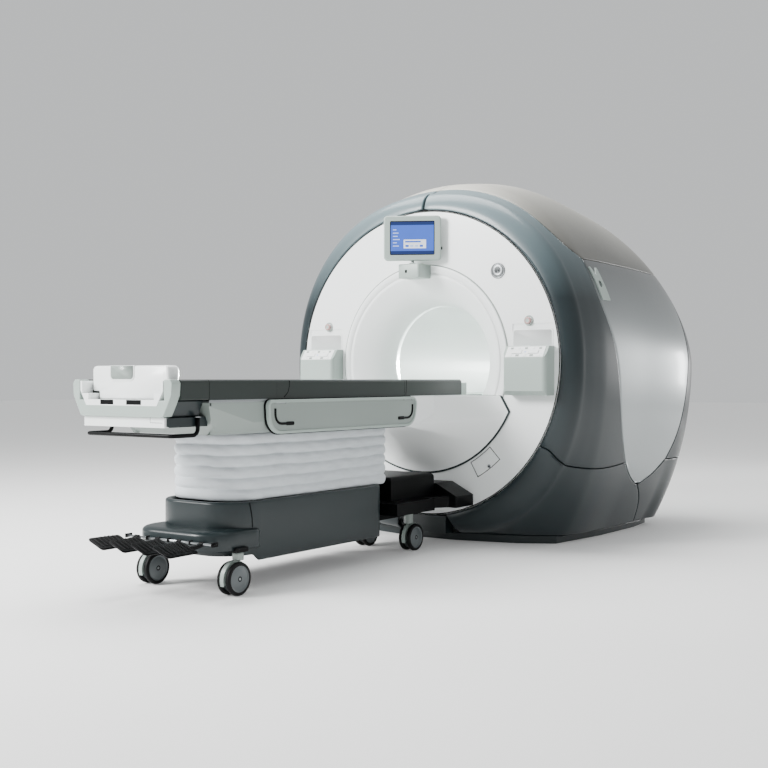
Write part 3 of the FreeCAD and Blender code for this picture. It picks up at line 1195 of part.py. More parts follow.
def make_caster(name, x, y, carrier, trail):
    """Twin wheels on a swivel housing; the axle trails the swivel by `trail`."""
    crown = cylinder(name + "_crown", "fork_crown", "%s - fork_crown_level - fit_gap" % carrier, x,
                     toward(y), "fork_crown_level")
    stem = cylinder(name + "_stem", "stem_radius", "%s + stem_length - fork_crown_level" % carrier, x,
                    toward(y), "fork_crown_level")
    low = "wheel_radius - fork_crown / 2"
    reach = "(%s)" % trail
    leg = box(name + "_leg", "fork_leg", "2 * fork_crown * 0.8 + abs(%s)" % reach,
              "fork_crown_level + 4 - (%s)" % low, "%s - fork_leg / 2" % x,
              toward("%s + fork_crown * 0.8 + max(0; %s)" % (y, reach)), low)
    axle = cylinder(name + "_axle", "axle_radius", "fork_leg + 2 * (wheel_spread + wheel_width)",
                    "%s - fork_leg / 2 - wheel_spread - wheel_width" % x, toward("%s + %s" % (y, reach)),
                    "wheel_radius", "X")
    part(fuse(name + "_solid", crown, stem, leg, axle), name + "_fork")

    discs = []
    for number, side in enumerate((-1, 1)):
        start = "%s + %d * (fork_leg / 2 + wheel_spread) - %d * wheel_width" % (x, side, 1 - number)
        disc = cylinder("%s_tyre_%d" % (name, number), "wheel_radius", "wheel_width", start,
                        toward("%s + %s" % (y, reach)), "wheel_radius", "X")
        hole = cylinder("%s_hub_%d" % (name, number), "axle_radius + running_gap", "3 * wheel_width",
                        start + " - wheel_width", toward("%s + %s" % (y, reach)), "wheel_radius", "X")
        discs.append(cut("%s_disc_%d" % (name, number), disc, hole))
    group = doc.addObject("Part::Compound", name + "_pair")
    group.Links = discs
    part(group, name + "_wheels")


def make_casters():
    for name, side in (("right", 1), ("left", -1)):
        make_caster("foot_caster_" + name, "%d * foot_caster_x" % side, "foot_caster_y",
                    "chassis_level", "fork_trail")
        make_caster("dock_caster_" + name, "%d * dock_caster_x" % side, "dock_caster_y",
                    "wing_bottom", "-fork_trail")


# ---------------------------------------------------------------- build, check and write
for make in (make_plinth, make_covers, make_hooks, make_vessel, make_coils, make_cold_head, make_bore,
             make_discs, make_door, make_display, make_pods, make_bridge, make_dock, make_table,
             make_top, make_handle, make_cart, make_pedals, make_casters):
    make()
doc.recompute()

for obj in doc.Objects:
    if "Invalid" in obj.State or "Error" in obj.State:
        raise RuntimeError("%s failed: %s" % (obj.Name, obj.State))
for obj in parts:
    if obj.Shape.isNull() or not obj.Shape.isValid() or not obj.Shape.Solids:
        raise RuntimeError("%s has no valid solid" % obj.Label)

os.makedirs("parts", exist_ok=True)
for obj in parts:
    obj.Shape.exportStep("parts/%s.step" % obj.Label)
print("wrote %d parts" % len(parts))
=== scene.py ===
import math

import bmesh
import bpy
import numpy as np
from bpy.props import FloatProperty, FloatVectorProperty, IntProperty, PointerProperty
from mathutils import Matrix, Vector

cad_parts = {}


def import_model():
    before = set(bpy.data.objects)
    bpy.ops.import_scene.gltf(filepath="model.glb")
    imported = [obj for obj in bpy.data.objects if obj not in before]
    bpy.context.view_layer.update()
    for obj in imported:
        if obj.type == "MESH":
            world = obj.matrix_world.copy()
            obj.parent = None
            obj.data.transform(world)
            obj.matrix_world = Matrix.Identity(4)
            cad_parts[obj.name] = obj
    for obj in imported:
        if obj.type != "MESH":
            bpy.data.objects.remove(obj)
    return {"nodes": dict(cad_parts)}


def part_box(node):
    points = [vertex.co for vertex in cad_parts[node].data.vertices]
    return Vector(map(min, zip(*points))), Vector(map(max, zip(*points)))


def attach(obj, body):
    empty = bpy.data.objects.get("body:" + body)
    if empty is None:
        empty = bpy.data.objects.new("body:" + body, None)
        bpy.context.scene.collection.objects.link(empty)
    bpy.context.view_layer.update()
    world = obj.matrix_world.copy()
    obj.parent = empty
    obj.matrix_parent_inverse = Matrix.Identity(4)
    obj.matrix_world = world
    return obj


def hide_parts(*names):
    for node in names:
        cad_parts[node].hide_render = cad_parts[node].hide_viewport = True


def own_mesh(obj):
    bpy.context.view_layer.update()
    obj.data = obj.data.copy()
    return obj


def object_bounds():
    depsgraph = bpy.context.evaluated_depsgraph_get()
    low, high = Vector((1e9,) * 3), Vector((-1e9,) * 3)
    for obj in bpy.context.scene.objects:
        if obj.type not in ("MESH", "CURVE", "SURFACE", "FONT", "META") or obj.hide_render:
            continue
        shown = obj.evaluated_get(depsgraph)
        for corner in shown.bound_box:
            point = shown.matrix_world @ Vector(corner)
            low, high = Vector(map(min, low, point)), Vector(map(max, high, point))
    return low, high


bl_info = {
    "name": "MRI Scanner",
    "version": (1, 0, 0),
    "blender": (4, 5, 0),
    "location": "View3D > Sidebar > Scanner",
    "description": "Draws a whole-body scanner and its detachable table over their CAD frame",
    "category": "Object",
}

# ---------------------------------------------------------------- the frame
# Metres; +Z up, +Y from the patient's end to the service end, +X to the right of someone who
# faces the bore. A place "before" the disc is measured from its face toward the patient.
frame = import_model()
CAD_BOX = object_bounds()
BOX = {node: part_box(node) for node in frame["nodes"]}
FACE = BOX["front_disc"][0].y
LENGTH = -2 * FACE
AXIS = (BOX["bore_liner"][0].z + BOX["bore_liner"][1].z) / 2
BED = BOX["lift_column"][1].z
DISC = BOX["front_disc"][1].x
REAR_DISC = BOX["rear_disc"][1].x
TABLE = BOX["table_rails"][1].x


def before(distance):
    """y of a place that far before the disc's face."""
    return FACE - distance


def linear(code):
    """A colour given as six hex digits, as linear light."""
    parts = [int(code[i:i + 2], 16) / 255 for i in (0, 2, 4)]
    return tuple(v / 12.92 if v <= 0.04045 else ((v + 0.055) / 1.055) ** 2.4 for v in parts)


def shaded(colour, share):
    return tuple(min(channel * share, 1.0) for channel in colour)


# ---------------------------------------------------------------- what a user would change
def colour_prop(name, description, code):
    return FloatVectorProperty(name=name, description=description, default=linear(code),
                               subtype="COLOR", size=3, min=0, max=1)


class ScannerColours(bpy.types.PropertyGroup):
    silver: colour_prop("Side panels", "Paint of the large side panels", "A9AFB0")
    slate: colour_prop("Rings and skirts", "Gloss paint of the ring and lower covers", "1C2629")
    crown: colour_prop("Ring crown", "The same paint where it turns to the light", "7C8E93")
    top: colour_prop("Top cover", "Warm paint of the top and rear covers", "C6C4BA")
    white: colour_prop("White shells", "Disc, funnel, pods and bridge", "F3F6F5")
    pale: colour_prop("Pale shells", "Display bezel, foot end and hooks", "A0ADA7")
    gray: colour_prop("Table side", "The table's sides and arm boards", "8B9590")
    rail: colour_prop("Rails", "Rails along both sides of the table", "222A27")
    dark: colour_prop("Base", "Base cover of the table", "1B2527")
    black: colour_prop("Pedals and dock", "Near-black plastic", "050607")
    steel: colour_prop("Steel", "Bare steel of shafts and the lift", "A5A9AB")
    copper: colour_prop("Windings", "Copper windings", "B06A3C")
    cloth: colour_prop("Bellows", "Coated cloth of the bellows", "D3D9DD")
    stop: colour_prop("Stop buttons", "Caps of the two stop buttons", "B08A86")
    screen: colour_prop("Screen", "Main colour of the display", "3F62C4")
    wheel: colour_prop("Wheel discs", "Side discs of the caster wheels", "5C6264")
    floor: colour_prop("Floor", "Studio floor", "F2F2F1")


class ScannerSizes(bpy.types.PropertyGroup):
    cover_roll: FloatProperty(name="Cover roll", description="Radius rolled onto each cover's edge",
                              default=0.006, min=0.001, max=0.02, unit="LENGTH")
    seam: FloatProperty(name="Seam", description="Gap between two covers", default=0.0045,
                        min=0.0005, max=0.01, unit="LENGTH")
    folds: IntProperty(name="Bellows folds", description="Folds from the base up to the table",
                       default=6, min=2, max=20)
    fold_depth: FloatProperty(name="Fold depth", description="How far a fold draws in",
                              default=0.014, min=0.002, max=0.04, unit="LENGTH")
    tread: FloatProperty(name="Tread ribs", description="Height of the ribs on a pedal",
                         default=0.0025, min=0, max=0.006, unit="LENGTH")


def sizes():
    return bpy.context.scene.scanner_sizes


# ---------------------------------------------------------------- shader writing
class Value:
    """A shader socket that takes part in sums: each operator adds its Math node."""

    def __init__(self, finish, socket):
        self.finish = finish
        self.socket = socket

    def math(self, operation, *others):
        return self.finish.node("ShaderNodeMath", {"operation": operation},
                                dict(enumerate((self,) + others)))

    def __add__(self, other):
        return self.math("ADD", other)

    def __mul__(self, other):
        return self.math("MULTIPLY", other)

    def __sub__(self, other):
        return self.math("SUBTRACT", other)

    def __rsub__(self, other):
        return self.math("MULTIPLY", -1.0) + other

    def __pow__(self, other):
        return self.math("POWER", other)

    __radd__ = __add__
    __rmul__ = __mul__

    def held(self, low, high):
        """0 below low, 1 above high, and even between them."""
        return self.finish.node("ShaderNodeMapRange", {"clamp": True},
                                {0: self, 1: low, 2: high, 3: 0.0, 4: 1.0})


class Finish:
    """One material: its nodes, and the shader that they feed."""

    def __init__(self, name, **constants):
        self.material = bpy.data.materials.new(name)
        self.material.use_nodes = True
        self.tree = self.material.node_tree
        self.shader = self.tree.nodes["Principled BSDF"]
        for key, value in constants.items():
            self.shader.inputs[key.replace("_", " ")].default_value = value

    def node(self, kind, settings=None, inputs=None, output=0):
        made = self.tree.nodes.new(kind)
        for key, value in (settings or {}).items():
            setattr(made, key, value)
        for key, value in (inputs or {}).items():
            if isinstance(value, Value):
                self.tree.links.new(value.socket, made.inputs[key])
            else:
                made.inputs[key].default_value = value
        return Value(self, made.outputs[output])

    def feed(self, name, value):
        self.tree.links.new(value.socket, self.shader.inputs[name])

    def place(self):
        return self.node("ShaderNodeTexCoord", output=3)

    def axis(self, number):
        return self.node("ShaderNodeSeparateXYZ", inputs={0: self.place()}, output=number)

    def noise(self, scale, detail=3.0, roughness=0.5, stretch=(1, 1, 1)):
        scaled = self.node("ShaderNodeVectorMath", {"operation": "MULTIPLY"},
                           {0: self.place(), 1: stretch})
        return self.node("ShaderNodeTexNoise", inputs={
            "Vector": scaled, "Scale": scale, "Detail": detail, "Roughness": roughness})

    def mix(self, share, first, second):
        def four(colour):
            return colour if isinstance(colour, Value) else (*colour[:3], 1.0)
        return self.node("ShaderNodeMix", {"data_type": "RGBA"},
                         {0: share, 6: four(first), 7: four(second)}, 2)

    def bump(self, height, strength, distance):
        self.feed("Normal", self.node("ShaderNodeBump", inputs={
            "Height": height, "Strength": strength, "Distance": distance}))


def moulded(name, colour, rough=0.35, grain=0.25, soiling=0.06, **constants):
    """Painted or moulded plastic: faint clouding, satin flecks, and the skin's fine texture."""
    finish = Finish(name, **constants)
    cloud, fleck, skin = finish.noise(1.7), finish.noise(55, 2), finish.noise(420, 2)
    tone = finish.mix(cloud.held(0.3, 0.7), shaded(colour, 1 - soiling), shaded(colour, 1 + soiling / 2))
    finish.feed("Base Color", tone)
    finish.feed("Roughness", fleck * 0.07 + cloud * 0.05 + (rough - 0.06))
    finish.bump(skin, grain, 0.0003)
    return finish


def painted_light_by_height(name, low_colour, high_colour, low, high, rough, grain=0.1, **constants):
    """Gloss paint whose colour changes from one level to another: painted light and shade standing in for how
    light falls with height.
    """
    finish = moulded(name, low_colour, rough, grain, **constants)
    # painted light and shade: the colour follows the height, not the paint
    lift = finish.axis(2).held(low, high)
    cloud = finish.noise(2.3) * 0.2 + 0.9
    finish.feed("Base Color", finish.mix(lift * cloud, low_colour, high_colour))
    return finish


def flaked_with_painted_shade(name, colour, rough, **constants):
    """Metallic paint: fine bright flakes under a satin coat, with painted shade that darkens it up under the
    shoulder.
    """
    finish = moulded(name, colour, rough, 0.08, 0.03, Metallic=0.55, **constants)
    flake = finish.noise(900, 1).held(0.45, 0.75)
    cloud = finish.noise(1.1, 2).held(0.2, 0.8)
    # painted shade: the paint darkens toward the seam under the shoulder
    shoulder = finish.axis(2).held(AXIS + 0.05, SEAM_LEVEL)
    body = finish.mix(flake * 0.35 + cloud * 0.2, shaded(colour, 0.9), shaded(colour, 1.15))
    finish.feed("Base Color", finish.mix(shoulder, body, shaded(colour, 0.22)))
    return finish


def flank_shaded(name, near, far, low, high, rough, **constants):
    """Satin paint with painted shade that deepens it away from the crown toward both flanks."""
    finish = moulded(name, near, rough, 0.15, **constants)
    # painted shade: darker with distance from the crown, as the flanks turn from the light
    flank_shade_share = finish.axis(0).math("ABSOLUTE").held(low, high)
    cloud = finish.noise(2.3) * 0.2 + 0.9
    finish.feed("Base Color", finish.mix(flank_shade_share * cloud, near, far))
    return finish


def brushed(name, colour, rough=0.3, stretch=(6, 160, 160)):
    """Bare metal with marks that run along one axis."""
    finish = Finish(name, Metallic=1.0)
    marks = finish.noise(6, 4, 0.7, stretch)
    finish.feed("Base Color", finish.mix(marks, shaded(colour, 0.8), shaded(colour, 1.1)))
    finish.feed("Roughness", marks * 0.2 + (rough - 0.1))
    finish.bump(marks, 0.15, 0.0002)
    return finish


def woven(name, colour):
    """Coated cloth: a tight weave under a soft sheen, with painted shade that makes it greyer down in the
    creases.
    """
    finish = Finish(name, Sheen_Weight=0.25, Sheen_Roughness=0.4)
    warp, weft = finish.axis(2) * 1100.0, (finish.axis(0) + finish.axis(1)) * 1100.0
    weave = warp.math("SINE") * weft.math("SINE") * 0.5 + 0.5
    crease = finish.noise(9, 5, 0.65, (1, 1, 3))
    # painted shade: darker where the crease noise draws the cloth in
    finish.feed("Base Color", finish.mix(crease.held(0.25, 0.6), shaded(colour, 0.86), colour))
    finish.feed("Roughness", crease * 0.2 + 0.5)
    finish.bump(weave * 0.3 + crease * 2.2, 0.35, 0.0016)
    return finish


def rubber(name, colour):
    finish = moulded(name, colour, 0.6, 0.5, 0.25, Specular_IOR_Level=0.2)
    dust = finish.noise(30, 4).held(0.5, 0.8)
    finish.feed("Base Color", finish.mix(dust * 0.2, colour, shaded(colour, 3)))
    return finish


def lit(name, colour, strength):
    """A glowing field of the display, with fine rows and a slow change of brightness."""
    finish = Finish(name, Roughness=0.2, Emission_Strength=strength)
    rows = (finish.axis(2) * 2600.0).math("SINE") * 0.04 + 0.96
    glow = finish.noise(14, 2) * 0.25 + rows * 0.8
    finish.feed("Emission Color", finish.mix(glow, shaded(colour, 0.7), colour))
    finish.feed("Base Color", finish.mix(glow, shaded(colour, 0.3), shaded(colour, 0.5)))
    return finish


def makers(paint):
    """How each finish is made, by its name."""
    crown = CAD_BOX[1].z
    return {
        # silver: flaked paint with painted shade up under the shoulder
        "silver": lambda n: flaked_with_painted_shade(n, paint.silver, 0.34, Coat_Weight=0.25, Coat_Roughness=0.12),
        # slate: painted highlight, the ring paint lightens toward the crown where it turns up to the light
        "slate": lambda n: painted_light_by_height(n, paint.slate, paint.crown, AXIS + 0.35, crown, 0.3, 0.04,
                                  Specular_IOR_Level=0.35, Coat_Weight=0.18, Coat_Roughness=0.1),
        # warm_white: painted shade, the flanks darken away from the lit crown
        "warm_white": lambda n: flank_shaded(n, paint.top, shaded(paint.top, 0.16), 0.1, 0.85, 0.4,
                                       Coat_Weight=0.15, Coat_Roughness=0.2),
        "white": lambda n: moulded(n, paint.white, 0.3, 0.15, 0.02, Coat_Weight=0.25, Coat_Roughness=0.1),
        "pale": lambda n: moulded(n, paint.pale, 0.38, 0.3),
        "mid_gray": lambda n: moulded(n, paint.gray, 0.36, 0.3, Coat_Weight=0.15),
        "rail_gray": lambda n: moulded(n, paint.rail, 0.36, 0.2, Specular_IOR_Level=0.4),
        "dark_gray": lambda n: moulded(n, paint.dark, 0.34, 0.2, 0.1, Specular_IOR_Level=0.4),
        "dark_metal": lambda n: moulded(n, paint.black, 0.4, 0.3, 0.2, Specular_IOR_Level=0.1),
        "wheel_gray": lambda n: moulded(n, paint.wheel, 0.4, 0.3),
        "steel": lambda n: brushed(n, paint.steel),
        "vessel_steel": lambda n: brushed(n, shaded(paint.steel, 0.8), 0.4, (30, 30, 4)),
        "copper": lambda n: brushed(n, paint.copper, 0.32, (4, 200, 4)),
        "bellows_white": lambda n: woven(n, paint.cloth),
        "key_white": lambda n: moulded(n, shaded(paint.white, 0.97), 0.3, 0.1),
        "stop_red": lambda n: moulded(n, paint.stop, 0.35, 0.1, Coat_Weight=0.3),
        "tyre": lambda n: rubber(n, shaded(paint.black, 0.8)),
        "badge": lambda n: brushed(n, shaded(paint.steel, 0.5), 0.35, (40, 4, 40)),
        "screen_field": lambda n: lit(n, paint.screen, 1.1),
        "screen_bar": lambda n: lit(n, shaded(paint.screen, 0.22), 0.9),
        "screen_window": lambda n: lit(n, (0.85, 0.9, 0.95), 1.0),
        "screen_mark": lambda n: lit(n, (0.45, 0.55, 0.85), 1.0),
        # pocket: painted shade, a gray that darkens upward for the shade in the pocket above a pod
        "pocket_gray": lambda n: painted_light_by_height(n, shaded(paint.white, 0.75), shaded(paint.white, 0.4),
                                        AXIS + 0.09, AXIS + 0.19, 0.45),
        "stage": lambda n: moulded(n, paint.floor, 0.75, 0.05, 0.01, Specular_IOR_Level=0.1,
                                   Emission_Color=(1, 1, 1, 1), Emission_Strength=0.12),
    }


def finish(name):
    """The named material, made on first use."""
    title = "scanner_" + name
    known = bpy.data.materials.get(title)
    return known or makers(bpy.context.scene.scanner_colours)[name](title).material


# ---------------------------------------------------------------- mesh writing
class Shape:
    """The points and faces of one piece while it is put together; a mark picks its material."""

    def __init__(self, *finishes):
        self.points, self.faces, self.marks = [], [], []
        self.finishes = finishes

    def ring(self, points):
        start = len(self.points)
        self.points += [tuple(p) for p in points]
        return list(range(start, len(self.points)))

    def face(self, corners, mark=0):
        self.faces.append(list(corners))
        self.marks.append(mark)

    def skin(self, rings, closed=True, mark=0):
        """Faces between rings of equal length, each a list of point numbers."""
        for low, high in zip(rings, rings[1:]):
            count = len(low)
            for i in range(count if closed else count - 1):
                j = (i + 1) % count
                self.face((low[i], low[j], high[j], high[i]), mark)

    def caps(self, rings, mark=0):
        """Faces that close the first and the last ring."""
        self.face(list(reversed(rings[0])), mark)
        self.face(rings[-1], mark)

    def loft(self, sections, mark=0):
        """A closed form through sections with as many points each."""
        rings = [self.ring(section) for section in sections]
        self.skin(rings, True, mark)
        self.caps(rings, mark)

    def terrace(self, outline, steps, place, mark=0, caps=(True, True)):
        """Copies of an outline, each at (inset, height), joined and capped."""
        rings = [self.ring([place(u, v, height) for u, v in inset(outline, draw)])
                 for draw, height in steps]
        self.skin(rings, True, mark)
        if caps[0]:
            self.face(list(reversed(rings[0])), mark)
        if caps[1]:
            self.face(rings[-1], mark)

    def block(self, low, high, mark=0):
        """A box between two corners; the piece's bevel rounds it."""
        self.loft([[(low[0], low[1], z), (high[0], low[1], z), (high[0], high[1], z),
                    (low[0], high[1], z)] for z in (low[2], high[2])], mark=mark)

    def lathe(self, profile, centre, axis, steps=96, mark=0, loop=False):
        """An outline of (along, radius) turned about an axis through the centre."""
        axis = Vector(axis).normalized()
        side = axis.orthogonal().normalized()
        other = axis.cross(side)
        rings = []
        for step in range(steps):
            turn = 2 * math.pi * step / steps
            out = side * math.cos(turn) + other * math.sin(turn)
            rings.append(self.ring([Vector(centre) + axis * a + out * r for a, r in profile]))
        self.skin(rings + rings[:1], loop, mark)

    def tube(self, path, radius, steps=16, mark=0):
        """A round bar along a path of points."""
        rings = []
        first = path[1] - path[0]
        side = Vector((1, 0, 0) if abs(first.z) > abs(first.x) else (0, 0, 1))
        for i, point in enumerate(path):
            ahead = path[min(i + 1, len(path) - 1)] - path[max(i - 1, 0)]
            side = (side - ahead * side.dot(ahead) / ahead.dot(ahead)).normalized()
            other = ahead.normalized().cross(side)
            rings.append(self.ring([point + side * radius * math.cos(2 * math.pi * s / steps) +
                                    other * radius * math.sin(2 * math.pi * s / steps)
                                    for s in range(steps)]))
        self.skin(rings, True, mark)
        self.caps(rings, mark)

    def made(self, name, body, nodes=(), slot=None, edge=0.0, tidy=True):
        """The finished piece, riding on its body and standing for its CAD nodes."""
        mesh = bpy.data.meshes.new(name)
        mesh.from_pydata(self.points, [], self.faces)
        for item in self.finishes:
            mesh.materials.append(finish(item))
        mesh.polygons.foreach_set("material_index", self.marks)
        mesh.polygons.foreach_set("use_smooth", [True] * len(self.faces))
        mesh.update()
        obj = bpy.data.objects.new(name, mesh)
        bpy.context.scene.collection.objects.link(obj)
        if tidy:
            consistent(mesh)
        if edge:
            soften(obj, edge)
        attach(obj, body)
        if nodes:
            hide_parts(*nodes)
        return obj


def consistent(mesh):
    """Turn every face outward."""
    work = bmesh.new()
    work.from_mesh(mesh)
    bmesh.ops.recalc_face_normals(work, faces=work.faces)
    work.to_mesh(mesh)
    work.free()


def soften(obj, width, angle=0.6, segments=3):
    """Round the sharp edges and keep the flats flat."""
    roll = obj.modifiers.new("rolled edges", "BEVEL")
    roll.width, roll.segments, roll.limit_method, roll.angle_limit = width, segments, "ANGLE", angle
    roll.use_clamp_overlap = True
    flat = obj.modifiers.new("flat faces", "WEIGHTED_NORMAL")
    flat.keep_sharp = False
    flat.weight = 80


def dress(finish_name, *nodes, edge=0.003):
    """Give CAD nodes their material and rolled edges."""
    for node in nodes:
        obj = frame["nodes"][node]
        obj.data.materials.clear()
        obj.data.materials.append(finish(finish_name))
        if edge:
            weld = obj.modifiers.new("joined faces", "WELD")
            weld.merge_threshold = 1e-5
            soften(obj, edge, 0.7)


def arc(centre, radius, start, end, steps):
    """Points on an arc of degrees in a plane."""
    turns = [math.radians(start + (end - start) * i / steps) for i in range(steps + 1)]
    return [(centre[0] + radius * math.cos(t), centre[1] + radius * math.sin(t)) for t in turns]


def rounded(corners, radii, steps=6):
    """A closed outline with each corner rounded; corners run counter-clockwise."""
    if not isinstance(radii, (list, tuple)):
        radii = [radii] * len(corners)
    outline = []
    for i, radius in enumerate(radii):
        corner = Vector(corners[i])
        back = (Vector(corners[i - 1]) - corner).normalized()
        ahead = (Vector(corners[(i + 1) % len(corners)]) - corner).normalized()
        if radius <= 0:
            outline.append(tuple(corner))
            continue
        half = back.angle(ahead) / 2
        reach = radius / math.tan(half)
        centre = corner + (back + ahead).normalized() * radius / math.sin(half)
        first, last = corner + back * reach - centre, corner + ahead * reach - centre
        sweep = math.atan2(first.x * last.y - first.y * last.x, first.dot(last))
        for step in range(steps + 1):
            turn = sweep * step / steps
            outline.append((centre.x + first.x * math.cos(turn) - first.y * math.sin(turn),
                            centre.y + first.x * math.sin(turn) + first.y * math.cos(turn)))
    return outline


def inset(outline, draw):
    """A closed counter-clockwise outline drawn in by a distance."""
    if not draw:
        return outline
    drawn = []
    for i, point in enumerate(outline):
        here = Vector(point)
        back = (here - Vector(outline[i - 1])).normalized()
        ahead = (Vector(outline[(i + 1) % len(outline)]) - here).normalized()
        normal = Vector((-(back.y + ahead.y), back.x + ahead.x))
        if normal.length < 1e-6:
            normal = Vector((-ahead.y, ahead.x))
        normal.normalize()
        share = max(normal.dot(Vector((-ahead.y, ahead.x))), 0.5)
        drawn.append(tuple(here + normal * draw / share))
    return drawn


# ---------------------------------------------------------------- enclosure form
# The enclosure's cross-sections: depth, half width, crown above the axis, shoulder exponent,
# foot half width, and how square the lower flank is.
HULL = [
    (0.100, 1.005, 1.020, 2.15, 0.220, 0.50),
    (0.210, 1.022, 1.065, 2.12, 0.560, 0.70),
    (0.330, 1.036, 1.105, 2.08, 0.760, 0.92),
    (0.800, 1.060, 1.165, 1.85, 0.820, 1.00),
    (1.300, 1.085, 1.145, 1.68, 0.830, 1.00),
    (1.560, 1.070, 1.115, 1.65, 0.800, 0.90),
    (1.690, 1.025, 1.075, 1.65, 0.420, 0.55),
]
FRONT_ROLL, REAR_ROLL, SILL, DISC_GAP = 0.100, 0.110, 0.050, 0.004
BASE_TURN = 80
SEAM_LEVEL = 1.655
PANEL_FRONT = ((.325, 1.440), (.380, 1.290), (.450, 1.100), (.515, .840), (.612, .600), (.714, .462))
PANEL_FOOT = ((.714, .462), (.832, .372), (.958, .314))
PANEL_HEEL = ((.982, .314), (1.154, .372), (1.290, .450))
PANEL_REAR = ((1.290, .450), (1.366, .571), (1.434, .762), (1.480, .956), (1.512, 1.151),
              (1.566, 1.385))
SKIRT_SEAM = ((0, .590), (.055, .505), (.170, .466), (.420, .444), (.714, .462))
CROWN_SEAM = ((.316, 0), (.215, 1.740), (.175, 1.860))
SKIRT_SPLIT = ((1.175, .050), (1.095, .200), (.970, .314))
PANEL_CORNERS = (.316, 1.600)
TOE_GAP = 0.004


def stations(depth):
    """All the section's sizes at a depth: smooth curves through the stations."""
    xs = [row[0] for row in HULL]
    place = min(max(depth, xs[0]), xs[-1])
    i = max(n for n in range(len(xs) - 1) if xs[n] <= place)
    gap = xs[i + 1] - xs[i]
    u = (place - xs[i]) / gap
    found = []
    for key in range(1, len(HULL[0])):
        ys = [row[key] for row in HULL]
        slope = [(ys[min(n + 1, len(xs) - 1)] - ys[max(n - 1, 0)]) /
                 (xs[min(n + 1, len(xs) - 1)] - xs[max(n - 1, 0)]) for n in (i, i + 1)]
        found.append((2 * u ** 3 - 3 * u ** 2 + 1) * ys[i] + (u ** 3 - 2 * u ** 2 + u) * gap * slope[0] +
                     (3 * u ** 2 - 2 * u ** 3) * ys[i + 1] + (u ** 3 - u ** 2) * gap * slope[1])
    return found


def hull_outline(depth, turn):
    half_width, crown, exponent, foot, flank = stations(depth)
    if turn >= 0:
        angle = math.pi / 2 * min(turn, 1)
        return (half_width * max(math.cos(angle), 0) ** (2 / exponent),
                AXIS + crown * math.sin(angle) ** (2 / exponent))
    share = min(-turn, 1)
    return foot + (half_width - foot) * (1 - share ** 2.2) ** flank, AXIS + (SILL - AXIS) * share


def ring_outline(radius, turn):
    angle = math.radians(90 * turn if turn >= 0 else BASE_TURN * turn)
    return radius * math.cos(angle), AXIS + radius * math.sin(angle)


FRONT_RUN, REAR_RUN = 1.5 * FRONT_ROLL, 1.5 * REAR_ROLL
WHOLE_RUN = FRONT_RUN + (LENGTH - FRONT_ROLL - REAR_ROLL) + REAR_RUN


def hull_place(run, turn):
    """The point of the enclosure's right half at a run over its surface and a turn about it."""
    if run < FRONT_RUN:
        angle = math.pi / 2 * run / FRONT_RUN
        ring, depth, place = DISC, FRONT_ROLL, FRONT_ROLL * (1 - math.cos(angle))
    elif run > WHOLE_RUN - REAR_RUN:
        angle = math.pi / 2 * (WHOLE_RUN - run) / REAR_RUN
        ring, depth = REAR_DISC, LENGTH - REAR_ROLL
        place = LENGTH - REAR_ROLL * (1 - math.cos(angle))
    else:
        x, z = hull_outline(FRONT_ROLL + run - FRONT_RUN, turn)
        return Vector((x, FACE + FRONT_ROLL + run - FRONT_RUN, z))
    inner, outer = ring_outline(ring + DISC_GAP, turn), hull_outline(depth, turn)
    share = math.sin(angle)
    return Vector((inner[0] + (outer[0] - inner[0]) * share, FACE + place,
                   inner[1] + (outer[1] - inner[1]) * share))


def run_at(depth):
    if depth < FRONT_ROLL:
        return FRONT_RUN * math.acos(1 - max(depth, 0) / FRONT_ROLL) * 2 / math.pi
    if depth > LENGTH - REAR_ROLL:
        back = REAR_RUN * math.acos(1 - max(LENGTH - depth, 0) / REAR_ROLL) * 2 / math.pi
        return WHOLE_RUN - back
    return FRONT_RUN + depth - FRONT_ROLL


def on_hull(depth, height):
    """(run, turn) of a place given by its depth and its height above the floor."""
    run, low, high = run_at(depth), -1.0, 1.0
    for _ in range(34):
        middle = (low + high) / 2
        if hull_place(run, middle).z < height:
            low = middle
        else:
            high = middle
    return run, (low + high) / 2


def reaches(points):
    reach = [0.0]
    for a, b in zip(points, points[1:]):
        reach.append(reach[-1] + math.hypot(b[0] - a[0], b[1] - a[1]))
    return reach


def along(points, share):
    """A place on a line through points, by its share of the line's length."""
    reach = reaches(points)
    goal = share * reach[-1]
    i = next((n for n in range(1, len(points)) if reach[n] >= goal - 1e-12), len(points) - 1)
    u = (goal - reach[i - 1]) / max(reach[i] - reach[i - 1], 1e-12)
    a, b = points[i - 1], points[i]
    return a[0] + (b[0] - a[0]) * u, a[1] + (b[1] - a[1]) * u


def spline(points, count):
    """A natural cubic spline through points of a plane, as count + 1 places on it."""
    reach = np.array(reaches(points))
    data = np.array(points, float)
    steps = np.diff(reach)
    size = len(points)
    left, right = np.eye(size), np.zeros((size, 2))
    for i in range(1, size - 1):
        left[i, i - 1:i + 2] = steps[i - 1], 2 * (steps[i - 1] + steps[i]), steps[i]
        right[i] = 6 * ((data[i + 1] - data[i]) / steps[i] - (data[i] - data[i - 1]) / steps[i - 1])
    bend = np.linalg.solve(left, right)
    places = []
    for goal in np.linspace(0, reach[-1], count + 1):
        i = min(int(np.searchsorted(reach, goal, side="right")) - 1, size - 2)
        h = steps[i]
        a, b = (reach[i + 1] - goal) / h, (goal - reach[i]) / h
        places.append(a * data[i] + b * data[i + 1] +
                      ((a ** 3 - a) * bend[i] + (b ** 3 - b) * bend[i + 1]) * h * h / 6)
    return places


def smooth_line(points, count=32):
    return [on_hull(p[0], p[1]) for p in spline(points, count)]


